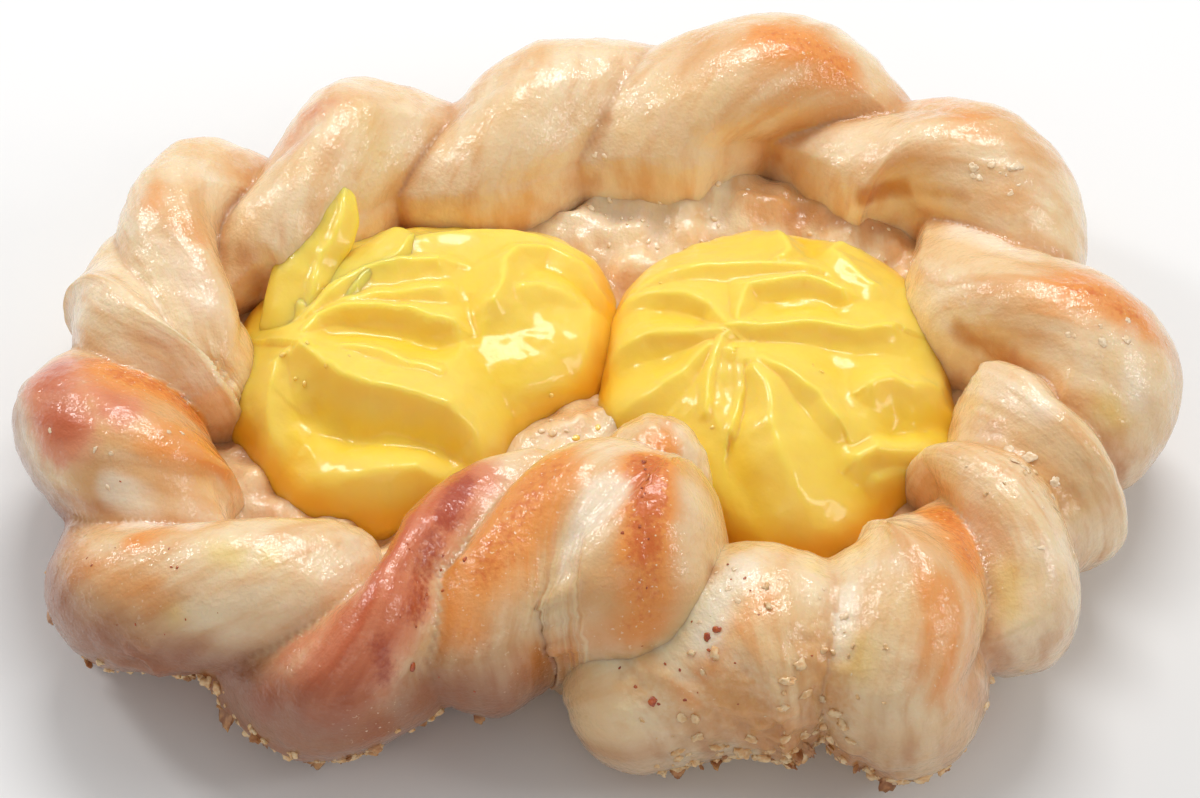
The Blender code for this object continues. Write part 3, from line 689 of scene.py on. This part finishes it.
def disc_piece(name, middle, rim_x, rim_y, shares, height_at, bottom):
    """A piece with a modelled top that spreads from its middle to its rim, with a wall down to bottom."""
    spokes = len(rim_x)
    share = np.repeat(shares[1:], spokes)
    x = middle[0] + share * np.tile(rim_x - middle[0], len(shares) - 1)
    y = middle[1] + share * np.tile(rim_y - middle[1], len(shares) - 1)
    top = np.column_stack([x, y, height_at(x, y, share)])
    wall = np.column_stack([rim_x, rim_y, np.full(spokes, bottom)])
    centre = np.array(middle, float).reshape(1, 2)
    peak = height_at(centre[:, 0], centre[:, 1], np.zeros(1))[0]
    ends = np.array([(*middle, peak), (*middle, bottom)])
    return capped_piece(name, np.vstack([top, wall]), len(shares), spokes, ends)


def floor_top(x, y, _share):
    """The height of the dough floor inside the ring, mm, which doesn't depend on the share of its reach."""
    z = np.full_like(x, FLOOR_HEIGHT)
    for lump_x, lump_y, radius, height in FLOOR_LUMPS:
        z += height * np.exp(-((x - lump_x) ** 2 + (y - lump_y) ** 2) / radius**2)
    across_x = (x - RIDGE_MIDDLE[0]) / RIDGE_REACH[0]
    across_y = (y - RIDGE_MIDDLE[1]) / RIDGE_REACH[1]
    off = (np.hypot(across_x, across_y) - 1) * RIDGE_REACH[1] / RIDGE_WIDTH
    middle, half = (RIDGE_FROM + RIDGE_TO) / 2, (RIDGE_TO - RIDGE_FROM) / 2
    azimuth = np.degrees(np.arctan2(across_y, across_x))
    fade = np.clip(4 - 3 * np.abs(azimuth - middle) / half, 0.0, 1.0)
    return z + RIDGE_HEIGHT * fade * np.exp(-off * off)


def make_floor():
    turn = np.arange(FLOOR_SPOKES) / FLOOR_SPOKES * 2 * math.pi
    rim_x = FLOOR_MIDDLE[0] + FLOOR_REACH[0] * np.cos(turn)
    rim_y = FLOOR_MIDDLE[1] + FLOOR_REACH[1] * np.sin(turn)
    shares = np.linspace(0, 1, FLOOR_RINGS + 1)
    piece = disc_piece("dough_floor", FLOOR_MIDDLE, rim_x, rim_y, shares, floor_top, FLOOR_BOTTOM)
    points = coordinates(piece)
    masks = {kind: patch_mask(points, floor_patches(kind)) for kind in PATCH_KINDS}
    moved = uneven_dough(points, normals(piece), masks["rough"])
    moved[:, 2] += relief(points, FLOOR_BUMPS)
    place_points(piece, moved)
    # Painted shade on the floor's low parts beside the rope.
    crease = np.clip((13.5 - moved[:, 2]) / 4.0, 0.0, 1.0) * 0.6
    paint_dough(piece, masks, crease, np.zeros(len(points)), points)
    return piece


def distance_to_line(x, y, line):
    """How far points are from a line through the given points, mm, and whether they are on its left."""
    points = np.column_stack([x, y])
    nearest, left = np.full(len(x), 1000.0), np.zeros(len(x), bool)
    for start, end in zip(line, line[1:]):
        off = distance_to_segment(points, start, end)
        side = (end[0] - start[0]) * (y - start[1]) - (end[1] - start[1]) * (x - start[0])
        closer = off < nearest
        nearest, left = np.where(closer, off, nearest), np.where(closer, side > 0, left)
    return nearest, left


def fold_relief(x, y, folds):
    """How far the custard's folds stand over its plain top, mm, with the hollows below 0."""
    crests, hollows = np.zeros_like(x), np.zeros_like(x)
    for height, left_width, right_width, line in folds:
        off, left = distance_to_line(x, y, line)
        width = np.where(left, left_width, right_width)
        rounding = CREST_ROUNDING if height > 0 else HOLLOW_ROUNDING
        shape = height * np.exp(-(np.sqrt(off**2 + rounding**2) - rounding) / width)
        crests = np.maximum(crests, shape)
        hollows = np.minimum(hollows, shape)
    return crests + hollows


def uneven_custard(points, outward):
    """Custard's points with its soft lumps and the ruffles that run down its rim, mm."""
    low = np.clip((RUFFLES_BELOW - points[:, 2]) / RUFFLES_FADE, 0.0, 1.0)
    ruffles = 0.6 * lumps(points * (1.0, 1.0, 0.3), 6.0, 27)
    ruffles += 0.16 * lumps(points * (1.0, 1.0, 0.4), 2.4, 28)
    move = low * ruffles + relief(points, CUSTARD_LUMPS)
    return points + outward * move[:, None]


def make_custard(name, middle, apex, top, rim, folds):
    turn = np.arange(CUSTARD_SPOKES) / CUSTARD_SPOKES
    rows = rim[-2:] + rim + rim[:3]
    reach = smooth_rows(np.array(rows)[:, None], 2 + turn * len(rim))[:, 0]
    rim_x = middle[0] + reach * np.cos(turn * 2 * math.pi)
    rim_y = middle[1] + reach * np.sin(turn * 2 * math.pi)
    shares = np.sin(np.linspace(0, math.pi / 2, CUSTARD_RINGS + 1)) ** 0.85

    def height_at(x, y, share):
        flat = np.column_stack([x, y, np.zeros_like(x)])
        warp_x, warp_y = x + relief(flat, FOLD_WARP_X), y + relief(flat, FOLD_WARP_Y)
        fullness = (1 - np.minimum(share, 1.0) ** RIM_FULLNESS) ** 0.5
        rise = fold_relief(warp_x, warp_y, folds) + relief(flat, CUSTARD_SWELLS)
        return CUSTARD_BASE + (top - CUSTARD_BASE + rise) * fullness

    piece = disc_piece(name, apex, rim_x, rim_y, shares, height_at, CUSTARD_BASE - 2.0)
    points = coordinates(piece)
    place_points(piece, uneven_custard(points, normals(piece)))
    points -= SHIFT
    height = fold_relief(points[:, 0], points[:, 1], folds)
    # Painted shade: the hollows between the folds get a deeper yellow than the crests.
    store(piece, "hollow_shade", 1 - np.clip((height - HOLLOW_FROM) / (HOLLOW_TO - HOLLOW_FROM), 0.0, 1.0))
    return piece


def make_flap(name, half_width, half_height, line):
    """Custard that was pushed aside in a flap with a sharp crest, along a line in mm."""
    rings, sides = 70, 80
    places = np.linspace(0, len(line) - 1, rings)
    middle = smooth_rows(line, places)
    along = np.gradient(middle, axis=0)
    along /= np.linalg.norm(along, axis=1, keepdims=True)
    across = np.cross(along, (0.0, 0.0, 1.0))
    across /= np.linalg.norm(across, axis=1, keepdims=True)
    upward = np.cross(across, along)
    turn = np.arange(sides) / sides * 2 * math.pi
    crest = 1 + FLAP_CREST * np.exp(-(((np.cos(turn) - 0.5) / 0.22) ** 2)) * (np.sin(turn) > 0)
    share = np.linspace(0, 1, rings)
    fullness = np.sqrt(np.clip(1 - np.abs(2 * share - 1) ** 3.0, 0.0, 1.0)) * (1 - 0.45 * share)
    flat = np.column_stack([share * 6.0, share * 0 + half_width, share * 0])
    sideways = np.outer(half_width * fullness * (1 + 0.25 * lumps(flat, 1.0, 31)), np.cos(turn))
    lift = np.outer(half_height * fullness, np.sin(turn) * crest)
    sideways += np.outer(0.5 * lumps(flat, 1.4, 32), np.ones(sides))
    points = middle[:, None] + across[:, None] * sideways[:, :, None] + upward[:, None] * lift[:, :, None]
    points = points.reshape(-1, 3)
    points[:, 2] += 0.25 * lumps(points, 2.4, 33)
    piece = capped_piece(name, points, rings, sides, middle[[0, -1]])
    relief = np.append(np.tile(np.sin(turn) * crest, rings), [0.5, 0.5])
    # Painted shade: the flap gets a deeper yellow underneath and a paler one on its crest.
    store(piece, "hollow_shade", 0.75 - 0.4 * np.clip(relief, 0.0, 1.5))
    return piece


def surface_tree(*pieces):
    """What is needed to find the nearest point of some pieces, in mm."""
    points, faces, first = [], [], 0
    for piece in pieces:
        place = coordinates(piece)
        points += place.tolist()
        faces += [tuple(index + first for index in face.vertices) for face in piece.data.polygons]
        first += len(place)
    return BVHTree.FromPolygons(points, faces)


def grain_shape(detail):
    """The points and triangles of a round grain, 1 in radius."""
    work = bmesh.new()
    bmesh.ops.create_icosphere(work, subdivisions=detail, radius=1.0)
    points = np.array([vert.co[:] for vert in work.verts])
    faces = np.array([[vert.index for vert in face.verts] for face in work.faces])
    work.free()
    return points, faces


def scattered_piece(name, seats, flatness, sink, jagged, detail):
    """One mesh of uneven grains. A seat is a place and normal on a surface and the grain's length, mm."""
    rng = np.random.default_rng(len(seats))
    shape, triangles = grain_shape(detail)
    points, faces = [], []
    for place, normal, length in seats:
        side = np.cross(normal, rng.normal(size=3))
        side /= np.linalg.norm(side)
        axes = np.stack([side, np.cross(normal, side), normal])
        uneven = 1 + jagged * lumps(shape * 1.3 + rng.uniform(0, 20, 3), 1.0, 41)
        uneven += 0.5 * jagged * lumps(shape * 2.9 + rng.uniform(0, 20, 3), 1.0, 42)
        half = length / 2 * np.array([1.0, rng.uniform(0.55, 0.9), flatness * rng.uniform(0.7, 1.2)])
        grain = (shape * uneven[:, None] * half) @ axes
        faces.append(triangles + len(shape) * len(points))
        points.append(grain + place + np.array(normal) * half[2] * (1 - 2 * sink))
    return mesh_piece(name, np.vstack(points), *faces)


def rope_seats(tree, spots, lean=0.0):
    """Seats scattered on the rope round the given spots, their normals leaning up and at random by lean."""
    rng = np.random.default_rng(51)
    seats = []
    for at, angle, at_spread, angle_spread, count, largest in spots:
        ats = np.clip(rng.normal(at, at_spread, count), FIRST_LOBE, LAST_LOBE)
        angles = np.radians(rng.normal(angle, angle_spread, count))
        lengths = largest * rng.uniform(0.25, 1.0, count) ** 1.3
        for place, length in zip(rope_points(ats, angles), lengths):
            found, normal = tree.find_nearest(place.tolist())[:2]
            turned = np.array(normal) * (1 - lean) + np.array([0.0, 0.0, 0.6 * lean])
            turned += rng.normal(size=3) * lean * 0.4
            seats.append((np.array(found), turned / np.linalg.norm(turned), length))
    return seats


def dropped_seats(tree, rows):
    """Seats straight below places given as x, y in the tables' mm and a length."""
    seats = []
    for x, y, length in rows:
        found, normal = tree.ray_cast((x + SHIFT[0], y + SHIFT[1], 60.0), (0.0, 0.0, -1.0))[:2]
        if found is not None:
            seats.append((np.array(found), np.array(normal), length))
    return seats


def bead_rows():
    rng = np.random.default_rng(61)
    rows = []
    for x, y, spread, count, largest in GLAZE_BEADS:
        for _ in range(count):
            rows.append((*rng.normal((x, y), spread), largest * rng.uniform(0.35, 1.0)))
    return rows


def speck_spots():
    """The single burnt specks as spots of one, and the fine ones scattered round them."""
    return [(at, angle, 0.0, 0.0, 1, length) for at, angle, length in BURNT_SPECKS] + list(FINE_SPECKS)


class Nodes:
    """One material's node tree, with short calls for the nodes that food needs."""

    def __init__(self, name):
        self.material = bpy.data.materials.new(name)
        self.material.use_nodes = True
        self.tree = self.material.node_tree
        self.shader = self.tree.nodes["Principled BSDF"]
        self.place = self.add("ShaderNodeTexCoord").outputs["Object"]

    def add(self, kind, **settings):
        node = self.tree.nodes.new(kind)
        for name, value in settings.items():
            setattr(node, name, value)
        return node

    def link(self, output, socket):
        self.tree.links.new(output, socket)

    def fill(self, socket, value):
        if isinstance(value, bpy.types.NodeSocket):
            self.link(value, socket)
        else:
            socket.default_value = value

    def settle(self, values):
        """Sets the shader's plain numbers, by the names of their sockets."""
        for name, value in values.items():
            self.shader.inputs[name].default_value = value

    def noise(self, size, detail=3.0, stretch=(1.0, 1.0, 1.0), place=None):
        """Noise from about 0 to 1 in lumps of the given size, mm."""
        scaled = self.add("ShaderNodeVectorMath", operation="MULTIPLY")
        self.link(self.place if place is None else place, scaled.inputs[0])
        scaled.inputs[1].default_value = stretch
        node = self.add("ShaderNodeTexNoise")
        self.link(scaled.outputs[0], node.inputs["Vector"])
        node.inputs["Scale"].default_value = 1 / (size * MM)
        node.inputs["Detail"].default_value = detail
        return node.outputs["Fac"]

    def stored(self, name):
        return self.add("ShaderNodeAttribute", attribute_name=name).outputs["Fac"]

    def stored_vector(self, name):
        return self.add("ShaderNodeAttribute", attribute_name=name).outputs["Vector"]

    def math(self, operation, a, b=0.0, c=0.0):
        node = self.add("ShaderNodeMath", operation=operation)
        for socket, value in zip(node.inputs, (a, b, c)):
            self.fill(socket, value)
        return node.outputs[0]

    def between(self, value, low, high, to_low=0.0, to_high=1.0):
        node = self.add("ShaderNodeMapRange", interpolation_type="SMOOTHSTEP")
        for socket, number in zip(node.inputs, (value, low, high, to_low, to_high)):
            self.fill(socket, number)
        return node.outputs[0]

    def torn(self, mask, noise, amount, low, high):
        """A mask whose edge is torn by noise."""
        shaken = self.math("MULTIPLY_ADD", self.math("SUBTRACT", noise, 0.5), amount, mask)
        return self.between(shaken, low, high)

    def mix(self, share, a, b):
        node = self.add("ShaderNodeMix", data_type="RGBA")
        self.fill(node.inputs[0], share)
        self.fill(node.inputs[6], a)
        self.fill(node.inputs[7], b)
        return node.outputs[2]

    def bump(self, height, distance, normal=None):
        node = self.add("ShaderNodeBump")
        node.inputs["Distance"].default_value = distance * MM
        self.link(height, node.inputs["Height"])
        if normal is not None:
            self.link(normal, node.inputs["Normal"])
        return node.outputs[0]


CREAM, PALE, TAN = colour(238, 202, 150), colour(245, 220, 180), colour(224, 162, 96)
ORANGE, DEEP_ORANGE = colour(238, 152, 70), colour(214, 108, 36)
PINK, DEEP_PINK, RED_BROWN = colour(224, 142, 100), colour(202, 98, 52), colour(176, 74, 40)
# Colours of the browning and painted shade low on the rope, of painted shade in creases and of painted
# shade in pockets.
LOW_BROWN_AND_SHADE, CREASE_SHADE, POCKET_SHADE = colour(138, 66, 14), colour(208, 132, 60), colour(190, 108, 34)
MILK_AND_HIGHLIGHT, STAIN = colour(255, 238, 212), colour(240, 206, 92)
PAINTED_GLINT = colour(255, 232, 200)


# The small pieces' looks: two tones, the size of their lumps in mm, roughness, gloss and scattering.
GRAIN_LOOKS = {
    "burnt_speck": (colour(204, 92, 30), colour(158, 58, 18), 0.5, 0.3, 0.8, 0.3),
    "baked_crumb": (colour(242, 206, 158), colour(224, 170, 112), 0.9, 0.4, 0.6, 0.2),
    "crust_flake": (colour(206, 150, 98), colour(150, 92, 50), 1.2, 0.45, 0.4, 0.2),
    "sugar_flake": (colour(248, 224, 188), colour(238, 204, 160), 0.8, 0.25, 0.6, 0.0),
    "glaze_bead": (colour(250, 230, 196), colour(242, 212, 168), 1.0, 0.1, 1.0, 0.0),
    "custard_bubble": (colour(255, 222, 120), colour(252, 208, 84), 1.0, 0.1, 1.0, 0.0),
}


def dough_material():
    nodes = Nodes("glazed_dough")
    broad, middling, fine = nodes.noise(9.0), nodes.noise(2.6, 4.0), nodes.noise(0.7, 3.0)
    streaks = nodes.noise(2.2, 4.0, (1.0, 0.22, 1.0), nodes.stored_vector("strand"))
    tone = nodes.mix(nodes.between(broad, 0.35, 0.65), CREAM, PALE)
    tone = nodes.mix(nodes.between(streaks, 0.45, 0.7, 0.0, 0.55), tone, TAN)
    tone = nodes.mix(nodes.between(middling, 0.55, 0.8, 0.0, 0.35), tone, TAN)
    # A layer is a kind of patch, how much of the tone it takes at most and its colour. Where its edge is
    # torn, it has the noise that tears it, by how much, and the mask's values for none and for all of it.
    layers = (
        ("tan", 0.85, TAN, streaks, 0.8, 0.15, 0.95),
        # Painted shade in the creases and on the floor's low parts.
        ("crease", 0.7, CREASE_SHADE, middling, 0.3, 0.15, 0.9),
        ("rough", 1.0, TAN, fine, 0.5, 0.3, 1.0),
        ("pink", 1.0, PINK, middling, 0.5, 0.2, 0.7),
        ("pink", 1.0, DEEP_PINK, streaks, 0.9, 0.6, 1.1),
        ("browned", 1.0, ORANGE, streaks, 0.8, 0.15, 0.85),
        ("browned", 1.0, DEEP_ORANGE, fine, 0.9, 0.7, 1.2),
        ("streak", 1.0, RED_BROWN, fine, 0.8, 0.35, 0.95),
        ("stain", 0.55, STAIN),
        # Baked browning and painted shade low on the rope, darker towards the underside.
        ("foot_brown_and_shade", 0.85, LOW_BROWN_AND_SHADE, streaks, 0.5, 0.1, 0.9),
        # Painted shade in the pockets.
        ("deep_shade", 0.75, POCKET_SHADE, middling, 0.5, 0.25, 0.95),
        # White glaze, and in one place a painted highlight.
        ("milk_and_highlight", 0.75, MILK_AND_HIGHLIGHT, streaks, 0.9, 0.35, 0.9),
    )
    for kind, most, tint, *torn in layers:
        mask = nodes.stored(kind)
        if torn:
            mask = nodes.torn(mask, *torn)
        tone = nodes.mix(nodes.math("MULTIPLY", mask, most), tone, tint)
    # Painted glints: near-white specks on the browned patches.
    painted_glints = nodes.between(nodes.noise(0.5, 2.0), 0.66, 0.72)
    painted_glints = nodes.math("MULTIPLY", painted_glints, nodes.stored("browned"))
    tone = nodes.mix(nodes.math("MULTIPLY", painted_glints, 0.8), tone, PAINTED_GLINT)
    nodes.link(tone, nodes.shader.inputs["Base Color"])
    nodes.link(nodes.between(middling, 0.3, 0.7, 0.32, 0.5), nodes.shader.inputs["Roughness"])
    nodes.settle({
        "Subsurface Weight": 0.35,
        "Subsurface Radius": (1.0, 0.5, 0.25),
        "Subsurface Scale": 0.003,
        "Coat Weight": 0.85,
        "Coat Roughness": 0.08,
        "IOR": 1.45,
    })
    ripples = nodes.bump(streaks, 0.30, nodes.bump(nodes.noise(1.6, 4.0), 0.16))
    nodes.link(nodes.bump(nodes.noise(0.45, 3.0), 0.09, ripples), nodes.shader.inputs["Normal"])
    waves = nodes.bump(nodes.noise(2.2, 3.0), 0.38, nodes.bump(streaks, 0.2))
    film = nodes.bump(nodes.noise(0.7, 3.0), 0.14, waves)
    nodes.link(film, nodes.shader.inputs["Coat Normal"])
    return nodes.material


def custard_material():
    nodes = Nodes("custard_cream")
    crest, valley_shade, deep_shade = colour(255, 216, 100), colour(255, 210, 70), colour(248, 170, 8)
    # Painted light and shade: crests paler, hollows a deeper yellow.
    tone = nodes.mix(nodes.between(nodes.stored("hollow_shade"), 0.2, 0.9), crest, valley_shade)
    tone = nodes.mix(nodes.between(nodes.noise(7.0), 0.4, 0.7, 0.0, 0.25), tone, valley_shade)
    # Painted shade: a deeper orange towards the custard's bottom.
    height = nodes.add("ShaderNodeSeparateXYZ")
    nodes.link(nodes.place, height.inputs[0])
    tone = nodes.mix(nodes.between(height.outputs["Z"], 0.0155, 0.0115, 0.0, 0.7), tone, deep_shade)
    nodes.link(tone, nodes.shader.inputs["Base Color"])
    nodes.link(nodes.between(nodes.noise(2.0), 0.3, 0.7, 0.28, 0.42), nodes.shader.inputs["Roughness"])
    nodes.settle({
        "Subsurface Weight": 0.8,
        "Subsurface Radius": (1.0, 0.75, 0.15),
        "Subsurface Scale": 0.003,
        "Specular IOR Level": 0.3,
        "Coat Weight": 0.4,
        "Coat Roughness": 0.07,
        "IOR": 1.42,
    })
    waves = nodes.bump(nodes.noise(3.0), 0.12)
    nodes.link(nodes.bump(nodes.noise(0.9, 3.0), 0.04, waves), nodes.shader.inputs["Normal"])
    return nodes.material


def grain_material(name):
    """The material of one kind of crumbs, flakes, specks or beads."""
    first, second, size, roughness, gloss, scatter = GRAIN_LOOKS[name]
    nodes = Nodes(name)
    tone = nodes.mix(nodes.between(nodes.noise(size), 0.35, 0.65), first, second)
    nodes.link(tone, nodes.shader.inputs["Base Color"])
    dull = nodes.between(nodes.noise(size * 0.6), 0.3, 0.7, roughness, roughness + 0.15)
    nodes.link(dull, nodes.shader.inputs["Roughness"])
    nodes.settle({
        "Subsurface Weight": scatter,
        "Subsurface Radius": (1.0, 0.6, 0.35),
        "Subsurface Scale": 0.0015,
        "Coat Weight": gloss,
        "Coat Roughness": 0.1,
    })
    nodes.link(nodes.bump(nodes.noise(size * 0.4), 0.08), nodes.shader.inputs["Normal"])
    return nodes.material


# The camera stands in front of the pastry and looks down on it.
CAMERA_TARGET = Vector((0.0002, -0.0035, 0.012))
CAMERA_ELEVATION = math.radians(50.0)
CAMERA_DISTANCE = 0.330


def add_camera():
    camera = bpy.data.objects.new("camera", bpy.data.cameras.new("camera"))
    bpy.context.collection.objects.link(camera)
    camera.data.lens, camera.data.sensor_width = 85.0, 36.0
    camera.data.clip_start = 0.01
    back = Vector((0.0, -math.cos(CAMERA_ELEVATION), math.sin(CAMERA_ELEVATION)))
    camera.location = CAMERA_TARGET + back * CAMERA_DISTANCE
    camera.rotation_euler = back.to_track_quat("Z", "Y").to_euler()
    bpy.context.scene.camera = camera


def add_softbox(name, place, width, depth, watts, tint=(1.0, 1.0, 1.0)):
    """A soft rectangular light that faces the pastry."""
    light = bpy.data.lights.new(name, "AREA")
    light.shape = "RECTANGLE"
    light.size, light.size_y = width, depth
    light.energy, light.color = watts, tint
    lamp = bpy.data.objects.new(name, light)
    bpy.context.collection.objects.link(lamp)
    lamp.location = place
    lamp.rotation_euler = (Vector(place) - CAMERA_TARGET).to_track_quat("Z", "Y").to_euler()


def add_studio():
    world = bpy.data.worlds.new("soft_white")
    bpy.context.scene.world = world
    world.use_nodes = True
    world.node_tree.nodes["Background"].inputs["Color"].default_value = (1.0, 1.0, 1.0, 1.0)
    world.node_tree.nodes["Background"].inputs["Strength"].default_value = 0.4
    add_softbox("overhead", (0.05, 0.26, 0.42), 0.30, 0.10, 1.35)
    add_softbox("right_fill", (0.45, -0.10, 0.3), 0.12, 0.2, 0.45)
    add_softbox("left_window", (-0.36, 0.22, 0.3), 0.08, 0.16, 0.6)
    add_softbox("front_fill", (-0.10, -0.50, 0.40), 0.50, 0.20, 0.3, (1.0, 0.90, 0.78))
    half = 1.5
    mesh = bpy.data.meshes.new("table_top")
    corners = [(-half, -half, 0), (half, -half, 0), (half, half, 0), (-half, half, 0)]
    mesh.from_pydata(corners, [], [(0, 1, 2, 3)])
    table = bpy.data.objects.new("table_top", mesh)
    bpy.context.collection.objects.link(table)
    nodes = Nodes("pale_table")
    nodes.shader.inputs["Base Color"].default_value = (0.85, 0.85, 0.85, 1.0)
    nodes.shader.inputs["Roughness"].default_value = 0.7
    mesh.materials.append(nodes.material)
    bpy.context.scene.view_settings.view_transform = "Standard"


def finish_piece(piece, material, node=None):
    piece.data.materials.append(material)
    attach(piece, "root")
    if node:
        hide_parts(node)


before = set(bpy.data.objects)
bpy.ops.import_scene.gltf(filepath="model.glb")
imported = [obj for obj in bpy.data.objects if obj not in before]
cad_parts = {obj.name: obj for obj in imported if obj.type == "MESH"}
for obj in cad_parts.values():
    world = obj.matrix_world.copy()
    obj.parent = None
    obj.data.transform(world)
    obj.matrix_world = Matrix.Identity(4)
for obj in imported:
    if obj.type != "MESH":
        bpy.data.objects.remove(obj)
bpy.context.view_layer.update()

dough = dough_material()
rope, floor, tip = make_rope(), make_floor(), make_tip()
for piece in (rope, floor, tip):
    finish_piece(piece, dough, "dough")
custard = custard_material()
star = make_custard("custard_star", RIGHT_MIDDLE, RIGHT_APEX, RIGHT_TOP, RIGHT_RIM, RIGHT_FOLDS)
finish_piece(star, custard, "custard_right")
fan = make_custard("custard_fan", LEFT_MIDDLE, LEFT_APEX, LEFT_TOP, LEFT_RIM, LEFT_FOLDS)
for piece in (fan, make_flap("custard_tongue", *TONGUE), make_flap("custard_flap", *FLAP)):
    finish_piece(piece, custard, "custard_left")

dough_tree, top_tree = surface_tree(rope, floor, tip), surface_tree(floor, fan, star)
small_pieces = (  # name, slot, look, seats, and its grains' flatness, sink, raggedness and detail
    ("burnt_specks", "dough", "burnt_speck", rope_seats(dough_tree, speck_spots()), (0.3, 0.35, 0.35, 2)),
    ("crumbs", "dough", "baked_crumb", rope_seats(dough_tree, CRUMBS), (0.7, 0.6, 0.5, 3)),
    ("crust_flakes", "dough", "crust_flake", rope_seats(dough_tree, CRUST_FLAKES, 0.7), (0.2, 0.4, 0.6, 3)),
    ("glaze_flakes", "dough", "sugar_flake", rope_seats(dough_tree, GLAZE_FLAKES), (0.25, 0.55, 0.5, 3)),
    ("glaze_beads", "dough", "glaze_bead", dropped_seats(top_tree, bead_rows()), (0.55, 0.4, 0.15, 3)),
    ("custard_bubbles", "custard", "custard_bubble", dropped_seats(top_tree, CUSTARD_BUBBLES),
     (0.5, 0.45, 0.08, 3)),
)
for name, slot, look, seats, form in small_pieces:
    finish_piece(scattered_piece(name, seats, *form), grain_material(look))
add_camera()
add_studio()
